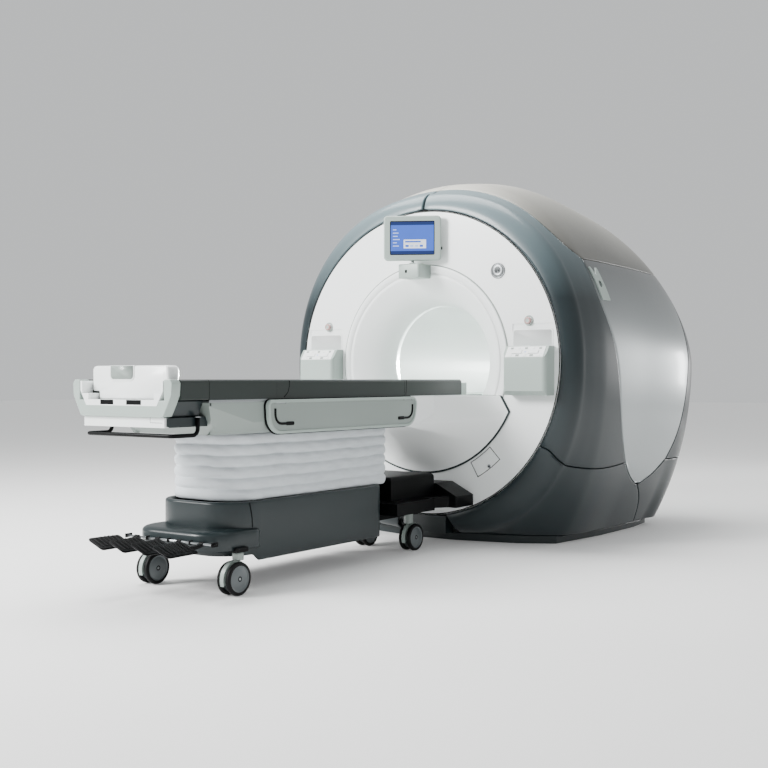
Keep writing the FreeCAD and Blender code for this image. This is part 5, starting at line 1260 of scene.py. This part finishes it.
def draw_grip(low, high, base):
    """The cradle's grip block: wide shoulders over a narrower root, and a finger recess; a dark band behind
    the block and the recess's gray field are painted shade.
    """
    y0, y1, top = low.y, before(GRIP_BACK), high.z
    wide, root, shoulder = GRIP_HALF, GRIP_ROOT, GRIP_SHOULDER

    def block_line(grow):
        corners = [(-root - grow, base), (root + grow, base), (root + grow, shoulder - grow),
                   (wide + grow, shoulder - grow), (wide + grow, top), (-wide - grow, top),
                   (-wide - grow, shoulder - grow), (-root - grow, shoulder - grow)]
        return rounded(corners, [0.006, 0.006, 0.004, 0.010, 0.022, 0.022, 0.010, 0.004])

    def place(u, v, w):
        return (u, w, v)
    block = Shape("white", "dark_metal", "mid_gray")
    block.terrace(block_line(0), [(0.006, y1), (0.001, y1 - 0.004), (0, y1 - 0.010), (0, y0 + 0.012),
                                  (0.0015, y0 + 0.004), (0.007, y0)], place)
    rim = BED + 0.074
    # painted shade: a dark band behind the block, seen through the gap round it
    block.terrace([(u, min(v, rim)) for u, v in block_line(0.013)], [(0, y0 + 0.016), (0, y0 + 0.012)],
                  place, 1)
    middle, finger, deep = -0.045, 0.078, 0.068
    recess = rounded([(middle - finger, top - deep), (middle + finger, top - deep),
                      (middle + finger, top + 0.0004), (middle - finger, top + 0.0004)],
                     [0.024, 0.024, 0.002, 0.002])
    block.terrace(recess, [(0, y0 + 0.010), (0, y0 - 0.0008), (0.0015, y0 - 0.0024)], place, 0)
    left, right = middle - finger + 0.007, middle + finger - 0.007
    lower, upper = top - deep + 0.009, top - 0.001
    field = rounded([(left, lower), (right, lower), (right, upper), (left, upper)],
                    [0.018, 0.018, 0.002, 0.002])
    # painted shade: the recess field is gray so the hollow reads as sunk and shaded
    block.terrace(field, [(0, y0 + 0.009), (0, y0 - 0.0032)], place, 2)
    block.made("cradle_grip", "cradle_body", slot="white")


# ---------------------------------------------------------------- foot end of the table
FOOT_FRONT, FOOT_CAP, FOOT_BACK, FOOT_DROP, FOOT_BAND = 2.350, 2.298, 2.1305, 0.072, 0.048
FOOT_LIP_HALF, FOOT_LIP_DROP, FOOT_LIP_FRONT = 0.250, 0.115, 2.335


def draw_foot_shell():
    """The table's end: an outer band with sloping lower corners, a white tray, the rails' ends
    behind them, and the lip below."""
    high = BOX["foot_shell"][1]
    half, top, base = high.x, high.z, BED - FOOT_DROP
    inner = half - FOOT_BAND
    front, cap, back = before(FOOT_FRONT), before(FOOT_CAP), before(FOOT_BACK)
    shape = Shape("pale", "rail_gray", "dark_gray")
    outer_line = [(half - 0.012, top), (half, top - 0.016), (half - 0.004, BED + 0.020),
                  (half - 0.030, BED - 0.030), (half - 0.052, base + 0.004), (half - 0.066, base)]
    profile = ([(-inner, top), (-inner, BED), (inner, BED), (inner, top)] + outer_line +
               [(-x, z) for x, z in reversed(outer_line)])
    shape.loft([[(x, y, z) for x, z in profile] for y in (front, cap)])
    hidden = [(-inner, BED + 0.004), (inner, BED + 0.004), (inner + 0.012, BED - 0.004),
              (inner - 0.014, base + 0.002), (-inner + 0.014, base + 0.002), (-inner - 0.012, BED - 0.004)]
    shape.loft([[(x, y, z) for x, z in hidden[::-1]] for y in (cap, back)], mark=2)
    for side in (-1, 1):
        line = rounded([(side * inner, BED + 0.0006), (side * half, BED + 0.0006), (side * half, top),
                        (side * inner, top)][::side], [0.004, 0.004, 0.016, 0.004] if side > 0 else
                       [0.004, 0.016, 0.004, 0.004])
        shape.loft([[(x, y, z) for x, z in line] for y in (cap, back)], mark=1)
    shape.made("foot_end_shell", "lift", ["foot_shell"], "pale", 0.005)

    tray = Shape("white", "dark_metal")
    side_in, root_in = GRIP_HALF + GRIP_FREE, GRIP_ROOT + GRIP_FREE
    rim, step_z = top - 0.006, GRIP_SHOULDER - GRIP_FREE
    outside = [(inner - 0.004, rim), (inner - 0.004, BED + 0.040), (inner - 0.042, base + 0.048)]
    inside = [(-side_in, rim), (-side_in, step_z), (-root_in, step_z), (-root_in, BED + 0.0015)]
    face_line = ([(-x, z) for x, z in outside] + outside[::-1] + [(-x, z) for x, z in inside] +
                 inside[::-1])
    tray.loft([[(x, y, z) for x, z in face_line] for y in
                (front - 0.001, BOX["cradle"][0].y + 0.010)])
    for x0, x1 in ((-0.128, -0.044), (0.036, 0.128)):
        tray.block((x0, front - 0.0018, base + 0.052), (x1, front + 0.001, BED + 0.001), 1)
    tray.made("foot_tray", "lift", slot="white", edge=0.0025)

    lip = Shape("white", "dark_metal", "dark_gray")
    lip_half, lip_low, lip_front = FOOT_LIP_HALF, BED - FOOT_LIP_DROP, before(FOOT_LIP_FRONT)
    lip.block((-lip_half, lip_front, lip_low), (lip_half, lip_front + 0.0245, base - 0.001), 0)
    seam = lip_half - 0.085
    for x0, x1, z0, z1 in ((seam, seam + 0.0022, lip_low + 0.020, base),
                           (seam, lip_half - 0.010, lip_low + 0.020, lip_low + 0.0222)):
        lip.block((x0, lip_front - 0.0006, z0), (x1, lip_front + 0.002, z1), 1)
    for side in (-1, 1):
        x0, x1 = sorted((side * (lip_half + 0.0005), side * (lip_half + 0.010)))
        lip.block((x0, lip_front + 0.012, lip_low + 0.004), (x1, before(2.110), base - 0.002), 2)
    lip.made("foot_lip", "lift", slot="white", edge=0.003)


def draw_handle():
    """The push bar: two arms out of the foot shell, a rounded corner each, and the grip."""
    low, high = BOX["push_handle"]
    radius = 0.009
    half, level = high.x - radius, low.z + radius
    root_y, bar_y = high.y - radius, low.y + radius
    bend = 0.028
    corner = [(half, root_y, high.z), (half, root_y, level + bend)]
    corner += [(half, root_y - bend + bend * math.cos(t), level + bend - bend * math.sin(t))
               for t in (0.4, 0.8, 1.2, math.pi / 2)]
    corner += [(half - bend + bend * math.cos(t), bar_y + bend - bend * math.sin(t), level)
               for t in (0, 0.4, 0.8, 1.2, math.pi / 2)]
    path = [Vector(p) for p in corner] + [Vector((-x, y, z)) for x, y, z in reversed(corner)]
    shape = Shape("dark_metal", "steel")
    shape.tube(path, radius, 20)
    for side in (-1, 1):
        shape.lathe([(0, 0.016), (-0.003, 0.015), (-0.004, 0.010)], (side * half, root_y, high.z),
                    (0, 0, 1), 32, 1)
    shape.made("push_bar", "lift", ["push_handle"], "dark_metal")


# ---------------------------------------------------------------- bellows
def rounded_plan(half, foot, dock, foot_round, dock_round, steps=14):
    """A plan outline with its foot corners and its dock corners rounded, as (x, y)."""
    return rounded([(-half, before(foot)), (half, before(foot)), (half, before(dock)),
                    (-half, before(dock))], [foot_round, foot_round, dock_round, dock_round], steps)


def even(outline, step):
    """The same closed outline in even steps, with each place's outward direction."""
    closed = outline + outline[:1]
    reach = reaches(closed)
    count = int(reach[-1] / step)
    places = [along(closed, i / count) for i in range(count)]
    found = []
    for i, place in enumerate(places):
        ahead = Vector(places[(i + 1) % count]) - Vector(places[i - 1])
        found.append((Vector(place), Vector((ahead.y, -ahead.x)).normalized(), i / count))
    return found


BELLOWS_FOOT, BELLOWS_DOCK, FOLD_ROWS, CLOTH_STEP, LIFT_TRAVEL = 1.893, 0.686, 14, 0.012, 0.250


def draw_bellows():
    """Soft folds round the lift: full crests, tight valleys, and cloth that wanders a little."""
    low, high = BOX["bellows"]
    plan = even(rounded_plan(high.x, BELLOWS_FOOT, BELLOWS_DOCK, 0.150, 0.050), CLOTH_STEP)
    folds, deep = sizes().folds, sizes().fold_depth
    rows = folds * FOLD_ROWS
    shape = Shape("bellows_white")
    rings = []
    height = high.z - low.z
    for row in range(rows + 1):
        share = row / rows
        ring = []
        for place, out, round_share in plan:
            turn = 2 * math.pi * round_share
            sway = (0.05 * math.sin(3 * turn + 1.3) + 0.03 * math.sin(7 * turn) +
                    0.03 * math.sin(13 * turn + 4 * share))
            phase = share * folds + sway * math.sin(math.pi * share)
            crest = abs(math.sin(math.pi * phase)) ** 0.55
            soft = 1 + 0.12 * math.sin(5 * turn + 9 * share) + 0.08 * math.sin(17 * turn + 3 * phase)
            draw = deep * (1 - crest) * soft + 0.0012 * math.sin(23 * turn + 31 * share)
            point = place - out * max(draw, 0)
            ring.append((point.x, point.y, low.z + height * share))
        rings.append(ring)
    inner = [[(p.x - o.x * (deep + 0.012), p.y - o.y * (deep + 0.012), z) for p, o, _ in plan]
             for z in (high.z, low.z)]
    numbers = [shape.ring(ring) for ring in rings + inner]
    shape.skin(numbers + numbers[:1])
    cloth = shape.made("bellows_cloth", "cart", ["bellows"], "bellows_white")
    before(1.3)
    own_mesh(cloth)


# ---------------------------------------------------------------- base and dock
ARCH_START, ARCH_RISE = 1.752, 0.031


def draw_base():
    """The base cover: a long shell with soft shoulders, the lower apron at its foot, and the
    pedal bracket."""
    top_level = BOX["base_cover"][1].z
    shape = Shape("dark_gray", "dark_metal", "steel")

    def shell(half, foot, dock, foot_round, base, top, swell, roll, hollow):
        plan = [tuple(p) for p, _, _ in even(rounded_plan(half, foot, dock, foot_round, 0.050), 0.015)]

        def arched(u, v, w):
            near = min(max((FACE - ARCH_START - v) / 0.030, 0.0), 1.0)
            return (u, v, w + near * ARCH_RISE if hollow and w < base + 0.020 else w)
        steps = [(0.010, base + 0.004), (0.0035, base), (0, base + 0.006), (0, top - roll * 1.25)]
        steps += [(roll * (1 - math.cos(t)) * swell, top - roll * 1.25 * (1 - math.sin(t)))
                  for t in (0.3, 0.6, 0.9, 1.2, math.pi / 2)]
        if hollow:
            steps += [(roll * swell + 0.014, top), (roll * swell + 0.016, top - 0.030)]
        shape.terrace(plan, steps, arched, 0, (False, not hollow))
    shell(half=0.250, foot=1.945, dock=0.760, foot_round=0.165, base=0.132, top=top_level,
          swell=1.0, roll=0.010, hollow=True)
    shell(half=0.270, foot=2.060, dock=1.730, foot_round=0.145, base=0.196, top=0.288,
          swell=2.2, roll=0.018, hollow=False)
    for side in (-1, 1):
        shape.tube([Vector((side * 0.2497, before(1.790 + lean), z)) for lean, z in
                    ((0.0, 0.286), (0.002, 0.330), (0.010, 0.370), (0.020, top_level - 0.004))],
                   0.0022, 10, 1)
    for number in range(5):
        x = (number - 2) * PEDAL_PITCH
        shape.block((x - 0.004, before(2.060 + 0.018), 0.232),
                    (x + 0.004, before(2.060 - 0.02), 0.250), 1)
    shape.tube([Vector((x, before(AXLE_AHEAD), AXLE_LEVEL)) for x in (-0.272, 0.272)], 0.005, 16, 2)
    shape.made("base_shell", "cart", ["base_cover"], "dark_gray", 0.0)


PEDAL_PITCH, PEDAL_HALF, PEDAL_TIP, PEDAL_NECK = 0.136, 0.056, 2.320, 2.138
PEDAL_LEVEL, PEDAL_DIP, PEDAL_THICK, PEDAL_RIBS = 0.242, 0.030, 0.010, 7
AXLE_AHEAD, AXLE_LEVEL = 2.069, 0.241


def draw_pedal(number, name):
    """A paddle that dips to one side, with ribs for the shoe, on a cranked arm."""
    x, half = (number - 1.5) * PEDAL_PITCH, PEDAL_HALF
    y_foot, y_neck = before(PEDAL_TIP), before(PEDAL_NECK)
    level, dip, thick = PEDAL_LEVEL, PEDAL_DIP, PEDAL_THICK
    shape = Shape("dark_metal", "steel")
    outline = rounded([(x - half + 0.006, y_foot + 0.004), (x + half, y_foot), (x + half - 0.004, y_neck),
                       (x - half + 0.010, y_neck)], [0.016, 0.020, 0.012, 0.012])

    def place(u, v, w):
        tilt = (u - x) / half
        reach = (v - y_neck) / (y_foot - y_neck)
        return (u, v, level - 0.004 - dip * tilt * 0.7 + w + 0.006 * math.sin(math.pi * reach))
    shape.terrace(outline, [(0.004, -thick), (0, -thick + 0.004), (0, -0.003), (0.002, -0.0008), (0.005, 0)],
                  place)
    for rib in range(PEDAL_RIBS):
        v = y_foot + 0.022 + (y_neck - y_foot - 0.044) * rib / (PEDAL_RIBS - 1)
        bar = [(x - half + 0.018, v - 0.003), (x + half - 0.014, v - 0.003), (x + half - 0.014, v + 0.003),
               (x - half + 0.018, v + 0.003)]
        shape.terrace(bar, [(0, -0.001), (0.0008, sizes().tread)], place)
    arm = 0.013
    shape.loft([[(x - arm, y, z0), (x + arm, y, z0), (x + arm, y, z1), (x - arm, y, z1)] for y, z0, z1 in
                ((before(2.062), 0.234, 0.246), (before(2.090), 0.226, 0.240), (before(2.125), 0.222, 0.238),
                 (y_neck - 0.020, 0.226, 0.238))])
    shape.lathe([(x - arm, 0.0052), (x - arm, 0.0087), (x + arm, 0.0087), (x + arm, 0.0052)],
                (0, before(AXLE_AHEAD), AXLE_LEVEL), (1, 0, 0), 24, 0, loop=True)
    shape.made(name + "_paddle", name + "_body", [name], "dark_metal", 0.0012)


WHEEL_GAP, WHEEL_WIDTH, WHEEL_RADIUS, SWIVEL_TRAIL = 0.015, 0.022, 0.075, 0.026


def draw_wheels(name, place):
    """A pair of wheels: rubber tread, gray disc, raised hub with its cap."""
    node = "%s_caster_%s_wheels" % (place, name)
    low, high = BOX[node]
    middle = Vector(((low.x + high.x) / 2, (low.y + high.y) / 2, (low.z + high.z) / 2))
    radius, gap, width = (high.z - low.z) / 2, WHEEL_GAP, WHEEL_WIDTH
    shape = Shape("tyre", "wheel_gray", "dark_metal")
    for side in (-1, 1):
        tyre = [(gap, radius - 0.016), (gap, radius - 0.006), (gap + 0.003, radius - 0.0015),
                (gap + 0.007, radius), (gap + width - 0.007, radius), (gap + width - 0.003, radius - 0.0015),
                (gap + width, radius - 0.007), (gap + width - 0.001, radius - 0.016)]
        rim = [(gap + width - 0.001, radius - 0.016), (gap + width - 0.004, radius - 0.019),
               (gap + width - 0.004, radius * 0.66), (gap + width - 0.002, radius * 0.62),
               (gap + width - 0.0015, radius * 0.16)]
        cap = [(gap + width - 0.0015, radius * 0.16), (gap + width - 0.0025, radius * 0.14),
               (gap + width - 0.002, radius * 0.10), (gap + width - 0.002, 0.0001)]
        inner = [(gap, 0.0065), (gap, radius - 0.016)]
        axis = (side, 0, 0)
        shape.lathe(tyre, middle, axis, 64, 0)
        shape.lathe(rim, middle, axis, 64, 1)
        shape.lathe(cap, middle, axis, 48, 2)
        shape.lathe(inner, middle, axis, 48, 1)
    shape.made(node + "_pair", "%s_wheels_%s" % (place, name), [node], "tyre")


def draw_fork(name, place, trail):
    """Swivel housing, curved hood between the wheels and the axle."""
    node = "%s_caster_%s_fork" % (place, name)
    high = BOX[node][1]
    wheel_low, wheel_high = BOX["%s_caster_%s_wheels" % (place, name)]
    x = (wheel_low.x + wheel_high.x) / 2
    axle_y, axle_z = (wheel_low.y + wheel_high.y) / 2, (wheel_low.z + wheel_high.z) / 2
    pivot_y = axle_y + trail
    shape = Shape("mid_gray", "steel", "pale")
    top = high.z - 0.014
    shape.lathe([(0.154, 0.0001), (0.154, 0.024), (0.158, 0.026), (top - 0.006, 0.026), (top - 0.0005, 0.022),
                 (top - 0.0005, 0.008), (high.z, 0.008), (high.z, 0.0001)], (x, pivot_y, 0), (0, 0, 1), 48)
    inner, outer = WHEEL_RADIUS + 0.003, WHEEL_RADIUS + 0.006
    hood = ((0.050, 0.006), (inner, 0.006), (outer, 0.0115), (outer, -0.0115), (inner, -0.006),
            (0.050, -0.006))
    sections = []
    for turn in range(-20, 201, 10):
        t = math.radians(turn)
        sections.append([(x + half, axle_y + math.cos(t) * r, axle_z + math.sin(t) * r)
                         for r, half in hood])
    shape.loft(sections, mark=2)
    shape.block((x - 0.006, axle_y - 0.020, axle_z - 0.012), (x + 0.006, axle_y + 0.020, axle_z + 0.060), 0)
    shape.tube([Vector((x + d, axle_y, axle_z)) for d in (-0.037, 0.037)], 0.006, 20, 1)
    shape.made(node + "_hood", "%s_caster_%s" % (place, name), [node], "mid_gray", 0.0012)


# ---------------------------------------------------------------- stage
FLOOR_REACH, FLOOR_CELLS = 40.0, 8
SKY, SKY_STRENGTH = (0.93, 0.95, 0.96, 1), 0.75
PLAIN, COOL = (1, 1, 1), (0.92, 1.0, 0.96)
# name, place, aim, width, height, power, tint, spread in degrees
LIGHTS = (("key_light", (-3.4, -7.2, 4.2), (0, -0.9, 1.0), 2.6, 2.6, 1050, PLAIN, 180),
          ("top_light", (-1.2, -0.8, 5.6), (-0.3, -0.3, 0), 3.0, 4.6, 420, PLAIN, 180),
          ("panel_light", (3.0, 6.2, 1.3), (1.0, 0.2, 0.95), 0.8, 1.2, 95, PLAIN, 180),
          ("bore_light", (0, 3.4, 1.25), (0, 0.0, 1.05), 0.5, 0.5, 30, COOL, 22))
CAMERA_PLACE, CAMERA_TURN = (3.707, -6.538, 0.960), math.radians(35.3)
LENS, SENSOR, LENS_SHIFT, FAR = 52.97, 36, -0.006, 200


def draw_stage():
    """Pale floor, soft studio light and the camera."""
    scene = bpy.context.scene
    reach, cells = FLOOR_REACH, FLOOR_CELLS
    shape = Shape("stage")
    rings = [shape.ring([(reach * (2 * i / cells - 1), reach * (2 * j / cells - 1), 0.0)
                         for i in range(cells + 1)]) for j in range(cells + 1)]
    shape.skin(rings, False)
    mesh = bpy.data.meshes.new("floor")
    mesh.from_pydata(shape.points, [], shape.faces)
    mesh.materials.append(finish("stage"))
    floor = bpy.data.objects.new("floor", mesh)
    scene.collection.objects.link(floor)

    world = bpy.data.worlds.new("studio")
    world.use_nodes = True
    world.node_tree.nodes["Background"].inputs["Color"].default_value = SKY
    world.node_tree.nodes["Background"].inputs["Strength"].default_value = SKY_STRENGTH
    scene.world = world

    for name, place, aim, width, height, power, tint, spread in LIGHTS:
        light = bpy.data.lights.new(name, "AREA")
        light.shape, light.size, light.size_y = "RECTANGLE", width, height
        light.energy, light.color, light.spread = power, tint, math.radians(spread)
        lamp = bpy.data.objects.new(name, light)
        lamp.location = place
        lamp.rotation_euler = (Vector(aim) - Vector(place)).to_track_quat("-Z", "Y").to_euler()
        scene.collection.objects.link(lamp)

    camera_data = bpy.data.cameras.new("camera")
    camera = bpy.data.objects.new("camera", camera_data)
    camera.location = CAMERA_PLACE
    camera.rotation_euler = (math.pi / 2, 0, CAMERA_TURN)
    camera_data.lens, camera_data.sensor_width = LENS, SENSOR
    camera_data.shift_y, camera_data.clip_end = LENS_SHIFT, FAR
    scene.collection.objects.link(camera)
    scene.camera = camera


# ---------------------------------------------------------------- operators
SIDES = (("right", 1), ("left", -1))
PEDALS = ("brake_pedal", "dock_pedal", "raise_pedal", "lower_pedal")


def draw_covers():
    for name, lines in regions().items():
        for _, side in SIDES:
            draw_cover(name, lines, side)
    dress("pale", "cover_hooks", edge=0.002)


def draw_discs():
    dress("white", "front_disc", edge=0)
    dress("white", "rear_disc", edge=0.003)
    draw_disc_marks()
    draw_door()


def draw_pods():
    dress("pale", "control_pod_right", "control_pod_left", edge=0.005)
    for draw in (draw_keypad, draw_pocket):
        for name, _ in SIDES:
            draw(name)


def draw_stops():
    for name, _ in SIDES:
        draw_stop_button(name)


def draw_arm_boards():
    for name, side in SIDES:
        draw_arm_board(name, side)


def draw_table():
    draw_table_body()
    draw_rail_seams()
    dress("steel", "lift_column", edge=0.002)
    dress("rail_gray", "table_rails", "bridge_rails", edge=0.004)


def draw_inside():
    dress("vessel_steel", "vacuum_vessel", edge=0.003)
    dress("copper", "magnet_coils", edge=0.002)
    dress("warm_white", "gradient_coil", edge=0.003)
    dress("steel", "cold_head", edge=0.002)
    dress("dark_gray", "plinth", edge=0.003)


def draw_dock():
    dress("dark_metal", "dock_block", edge=0.006)
    dress("dark_metal", "dock_receiver", edge=0.006)
    dress("dark_metal", "cart_chassis", edge=0.002)


def draw_pedals():
    for number, name in enumerate(PEDALS):
        draw_pedal(number, name)


def draw_casters():
    for name, _ in SIDES:
        for place, trail in (("foot", SWIVEL_TRAIL), ("dock", -SWIVEL_TRAIL)):
            draw_wheels(name, place)
            draw_fork(name, place, trail)


class SCANNER_OT_inside(bpy.types.Operator):
    """Vessel, windings, gradient coil, cold head and plinth"""
    bl_idname = "scanner.inside"
    bl_label = "Magnet inside"

    def execute(self, context):
        draw_inside()
        return {"FINISHED"}


class SCANNER_OT_covers(bpy.types.Operator):
    """The enclosure's twelve covers and the hooks"""
    bl_idname = "scanner.covers"
    bl_label = "Covers"

    def execute(self, context):
        draw_covers()
        return {"FINISHED"}


class SCANNER_OT_discs(bpy.types.Operator):
    """Front and rear disc, access door and badge"""
    bl_idname = "scanner.discs"
    bl_label = "Discs and door"

    def execute(self, context):
        draw_discs()
        return {"FINISHED"}


class SCANNER_OT_bore(bpy.types.Operator):
    """Funnel and liner"""
    bl_idname = "scanner.bore"
    bl_label = "Bore"

    def execute(self, context):
        draw_funnel()
        draw_liner()
        return {"FINISHED"}


class SCANNER_OT_stops(bpy.types.Operator):
    """The two stop buttons and their collars"""
    bl_idname = "scanner.stops"
    bl_label = "Stop buttons"

    def execute(self, context):
        draw_stops()
        return {"FINISHED"}


class SCANNER_OT_display(bpy.types.Operator):
    """Display on its bracket"""
    bl_idname = "scanner.display"
    bl_label = "Display"

    def execute(self, context):
        draw_display()
        return {"FINISHED"}


class SCANNER_OT_pods(bpy.types.Operator):
    """The pods, their keypads and keys"""
    bl_idname = "scanner.pods"
    bl_label = "Control pods"

    def execute(self, context):
        draw_pods()
        return {"FINISHED"}


class SCANNER_OT_bridge(bpy.types.Operator):
    """The bridge between table and bore"""
    bl_idname = "scanner.bridge"
    bl_label = "Bridge"

    def execute(self, context):
        draw_bridge()
        return {"FINISHED"}


class SCANNER_OT_table(bpy.types.Operator):
    """The table's tub, rails, rail joints and lift column"""
    bl_idname = "scanner.table"
    bl_label = "Table"

    def execute(self, context):
        draw_table()
        return {"FINISHED"}


class SCANNER_OT_arms(bpy.types.Operator):
    """The hinged boards on both sides"""
    bl_idname = "scanner.arms"
    bl_label = "Arm boards"

    def execute(self, context):
        draw_arm_boards()
        return {"FINISHED"}


class SCANNER_OT_cradle(bpy.types.Operator):
    """The sliding cradle and its grip"""
    bl_idname = "scanner.cradle"
    bl_label = "Cradle"

    def execute(self, context):
        draw_cradle()
        return {"FINISHED"}


class SCANNER_OT_foot(bpy.types.Operator):
    """Foot shell, tray, lip and push bar"""
    bl_idname = "scanner.foot"
    bl_label = "Foot end"

    def execute(self, context):
        draw_foot_shell()
        draw_handle()
        return {"FINISHED"}


class SCANNER_OT_bellows(bpy.types.Operator):
    """The folded cloth round the lift"""
    bl_idname = "scanner.bellows"
    bl_label = "Bellows"

    def execute(self, context):
        draw_bellows()
        return {"FINISHED"}


class SCANNER_OT_base(bpy.types.Operator):
    """The base cover with its apron"""
    bl_idname = "scanner.base"
    bl_label = "Base cover"

    def execute(self, context):
        draw_base()
        return {"FINISHED"}


class SCANNER_OT_dock(bpy.types.Operator):
    """Docking block, receiver and chassis"""
    bl_idname = "scanner.dock"
    bl_label = "Dock"

    def execute(self, context):
        draw_dock()
        return {"FINISHED"}


class SCANNER_OT_pedals(bpy.types.Operator):
    """The four foot pedals"""
    bl_idname = "scanner.pedals"
    bl_label = "Pedals"

    def execute(self, context):
        draw_pedals()
        return {"FINISHED"}


class SCANNER_OT_casters(bpy.types.Operator):
    """Four swivelling casters with twin wheels"""
    bl_idname = "scanner.casters"
    bl_label = "Casters"

    def execute(self, context):
        draw_casters()
        return {"FINISHED"}


class SCANNER_OT_stage(bpy.types.Operator):
    """Floor, lights and camera"""
    bl_idname = "scanner.stage"
    bl_label = "Stage"

    def execute(self, context):
        draw_stage()
        return {"FINISHED"}


STEPS = (SCANNER_OT_inside, SCANNER_OT_covers, SCANNER_OT_discs, SCANNER_OT_bore, SCANNER_OT_stops,
         SCANNER_OT_display, SCANNER_OT_pods, SCANNER_OT_bridge, SCANNER_OT_table, SCANNER_OT_arms,
         SCANNER_OT_cradle, SCANNER_OT_foot, SCANNER_OT_bellows, SCANNER_OT_base, SCANNER_OT_dock,
         SCANNER_OT_pedals, SCANNER_OT_casters, SCANNER_OT_stage)


class SCANNER_PT_steps(bpy.types.Panel):
    """Sizes, colours and the steps that draw the scanner"""
    bl_idname = "SCANNER_PT_steps"
    bl_label = "Scanner"
    bl_space_type = "VIEW_3D"
    bl_region_type = "UI"
    bl_category = "Scanner"

    def draw(self, context):
        for group in (context.scene.scanner_sizes, context.scene.scanner_colours):
            box = self.layout.box()
            for key in group.__annotations__:
                box.prop(group, key)
        for made in STEPS:
            self.layout.operator(made.bl_idname)


def register():
    for item in (ScannerColours, ScannerSizes, SCANNER_PT_steps, *STEPS):
        bpy.utils.register_class(item)
    bpy.types.Scene.scanner_colours = PointerProperty(type=ScannerColours)
    bpy.types.Scene.scanner_sizes = PointerProperty(type=ScannerSizes)


def unregister():
    del bpy.types.Scene.scanner_sizes, bpy.types.Scene.scanner_colours
    for item in (*reversed(STEPS), SCANNER_PT_steps, ScannerSizes, ScannerColours):
        bpy.utils.unregister_class(item)


def main():
    register()
    for made in STEPS:
        getattr(bpy.ops.scanner, made.bl_idname.split(".")[1])()


if __name__ == "__main__":
    main()
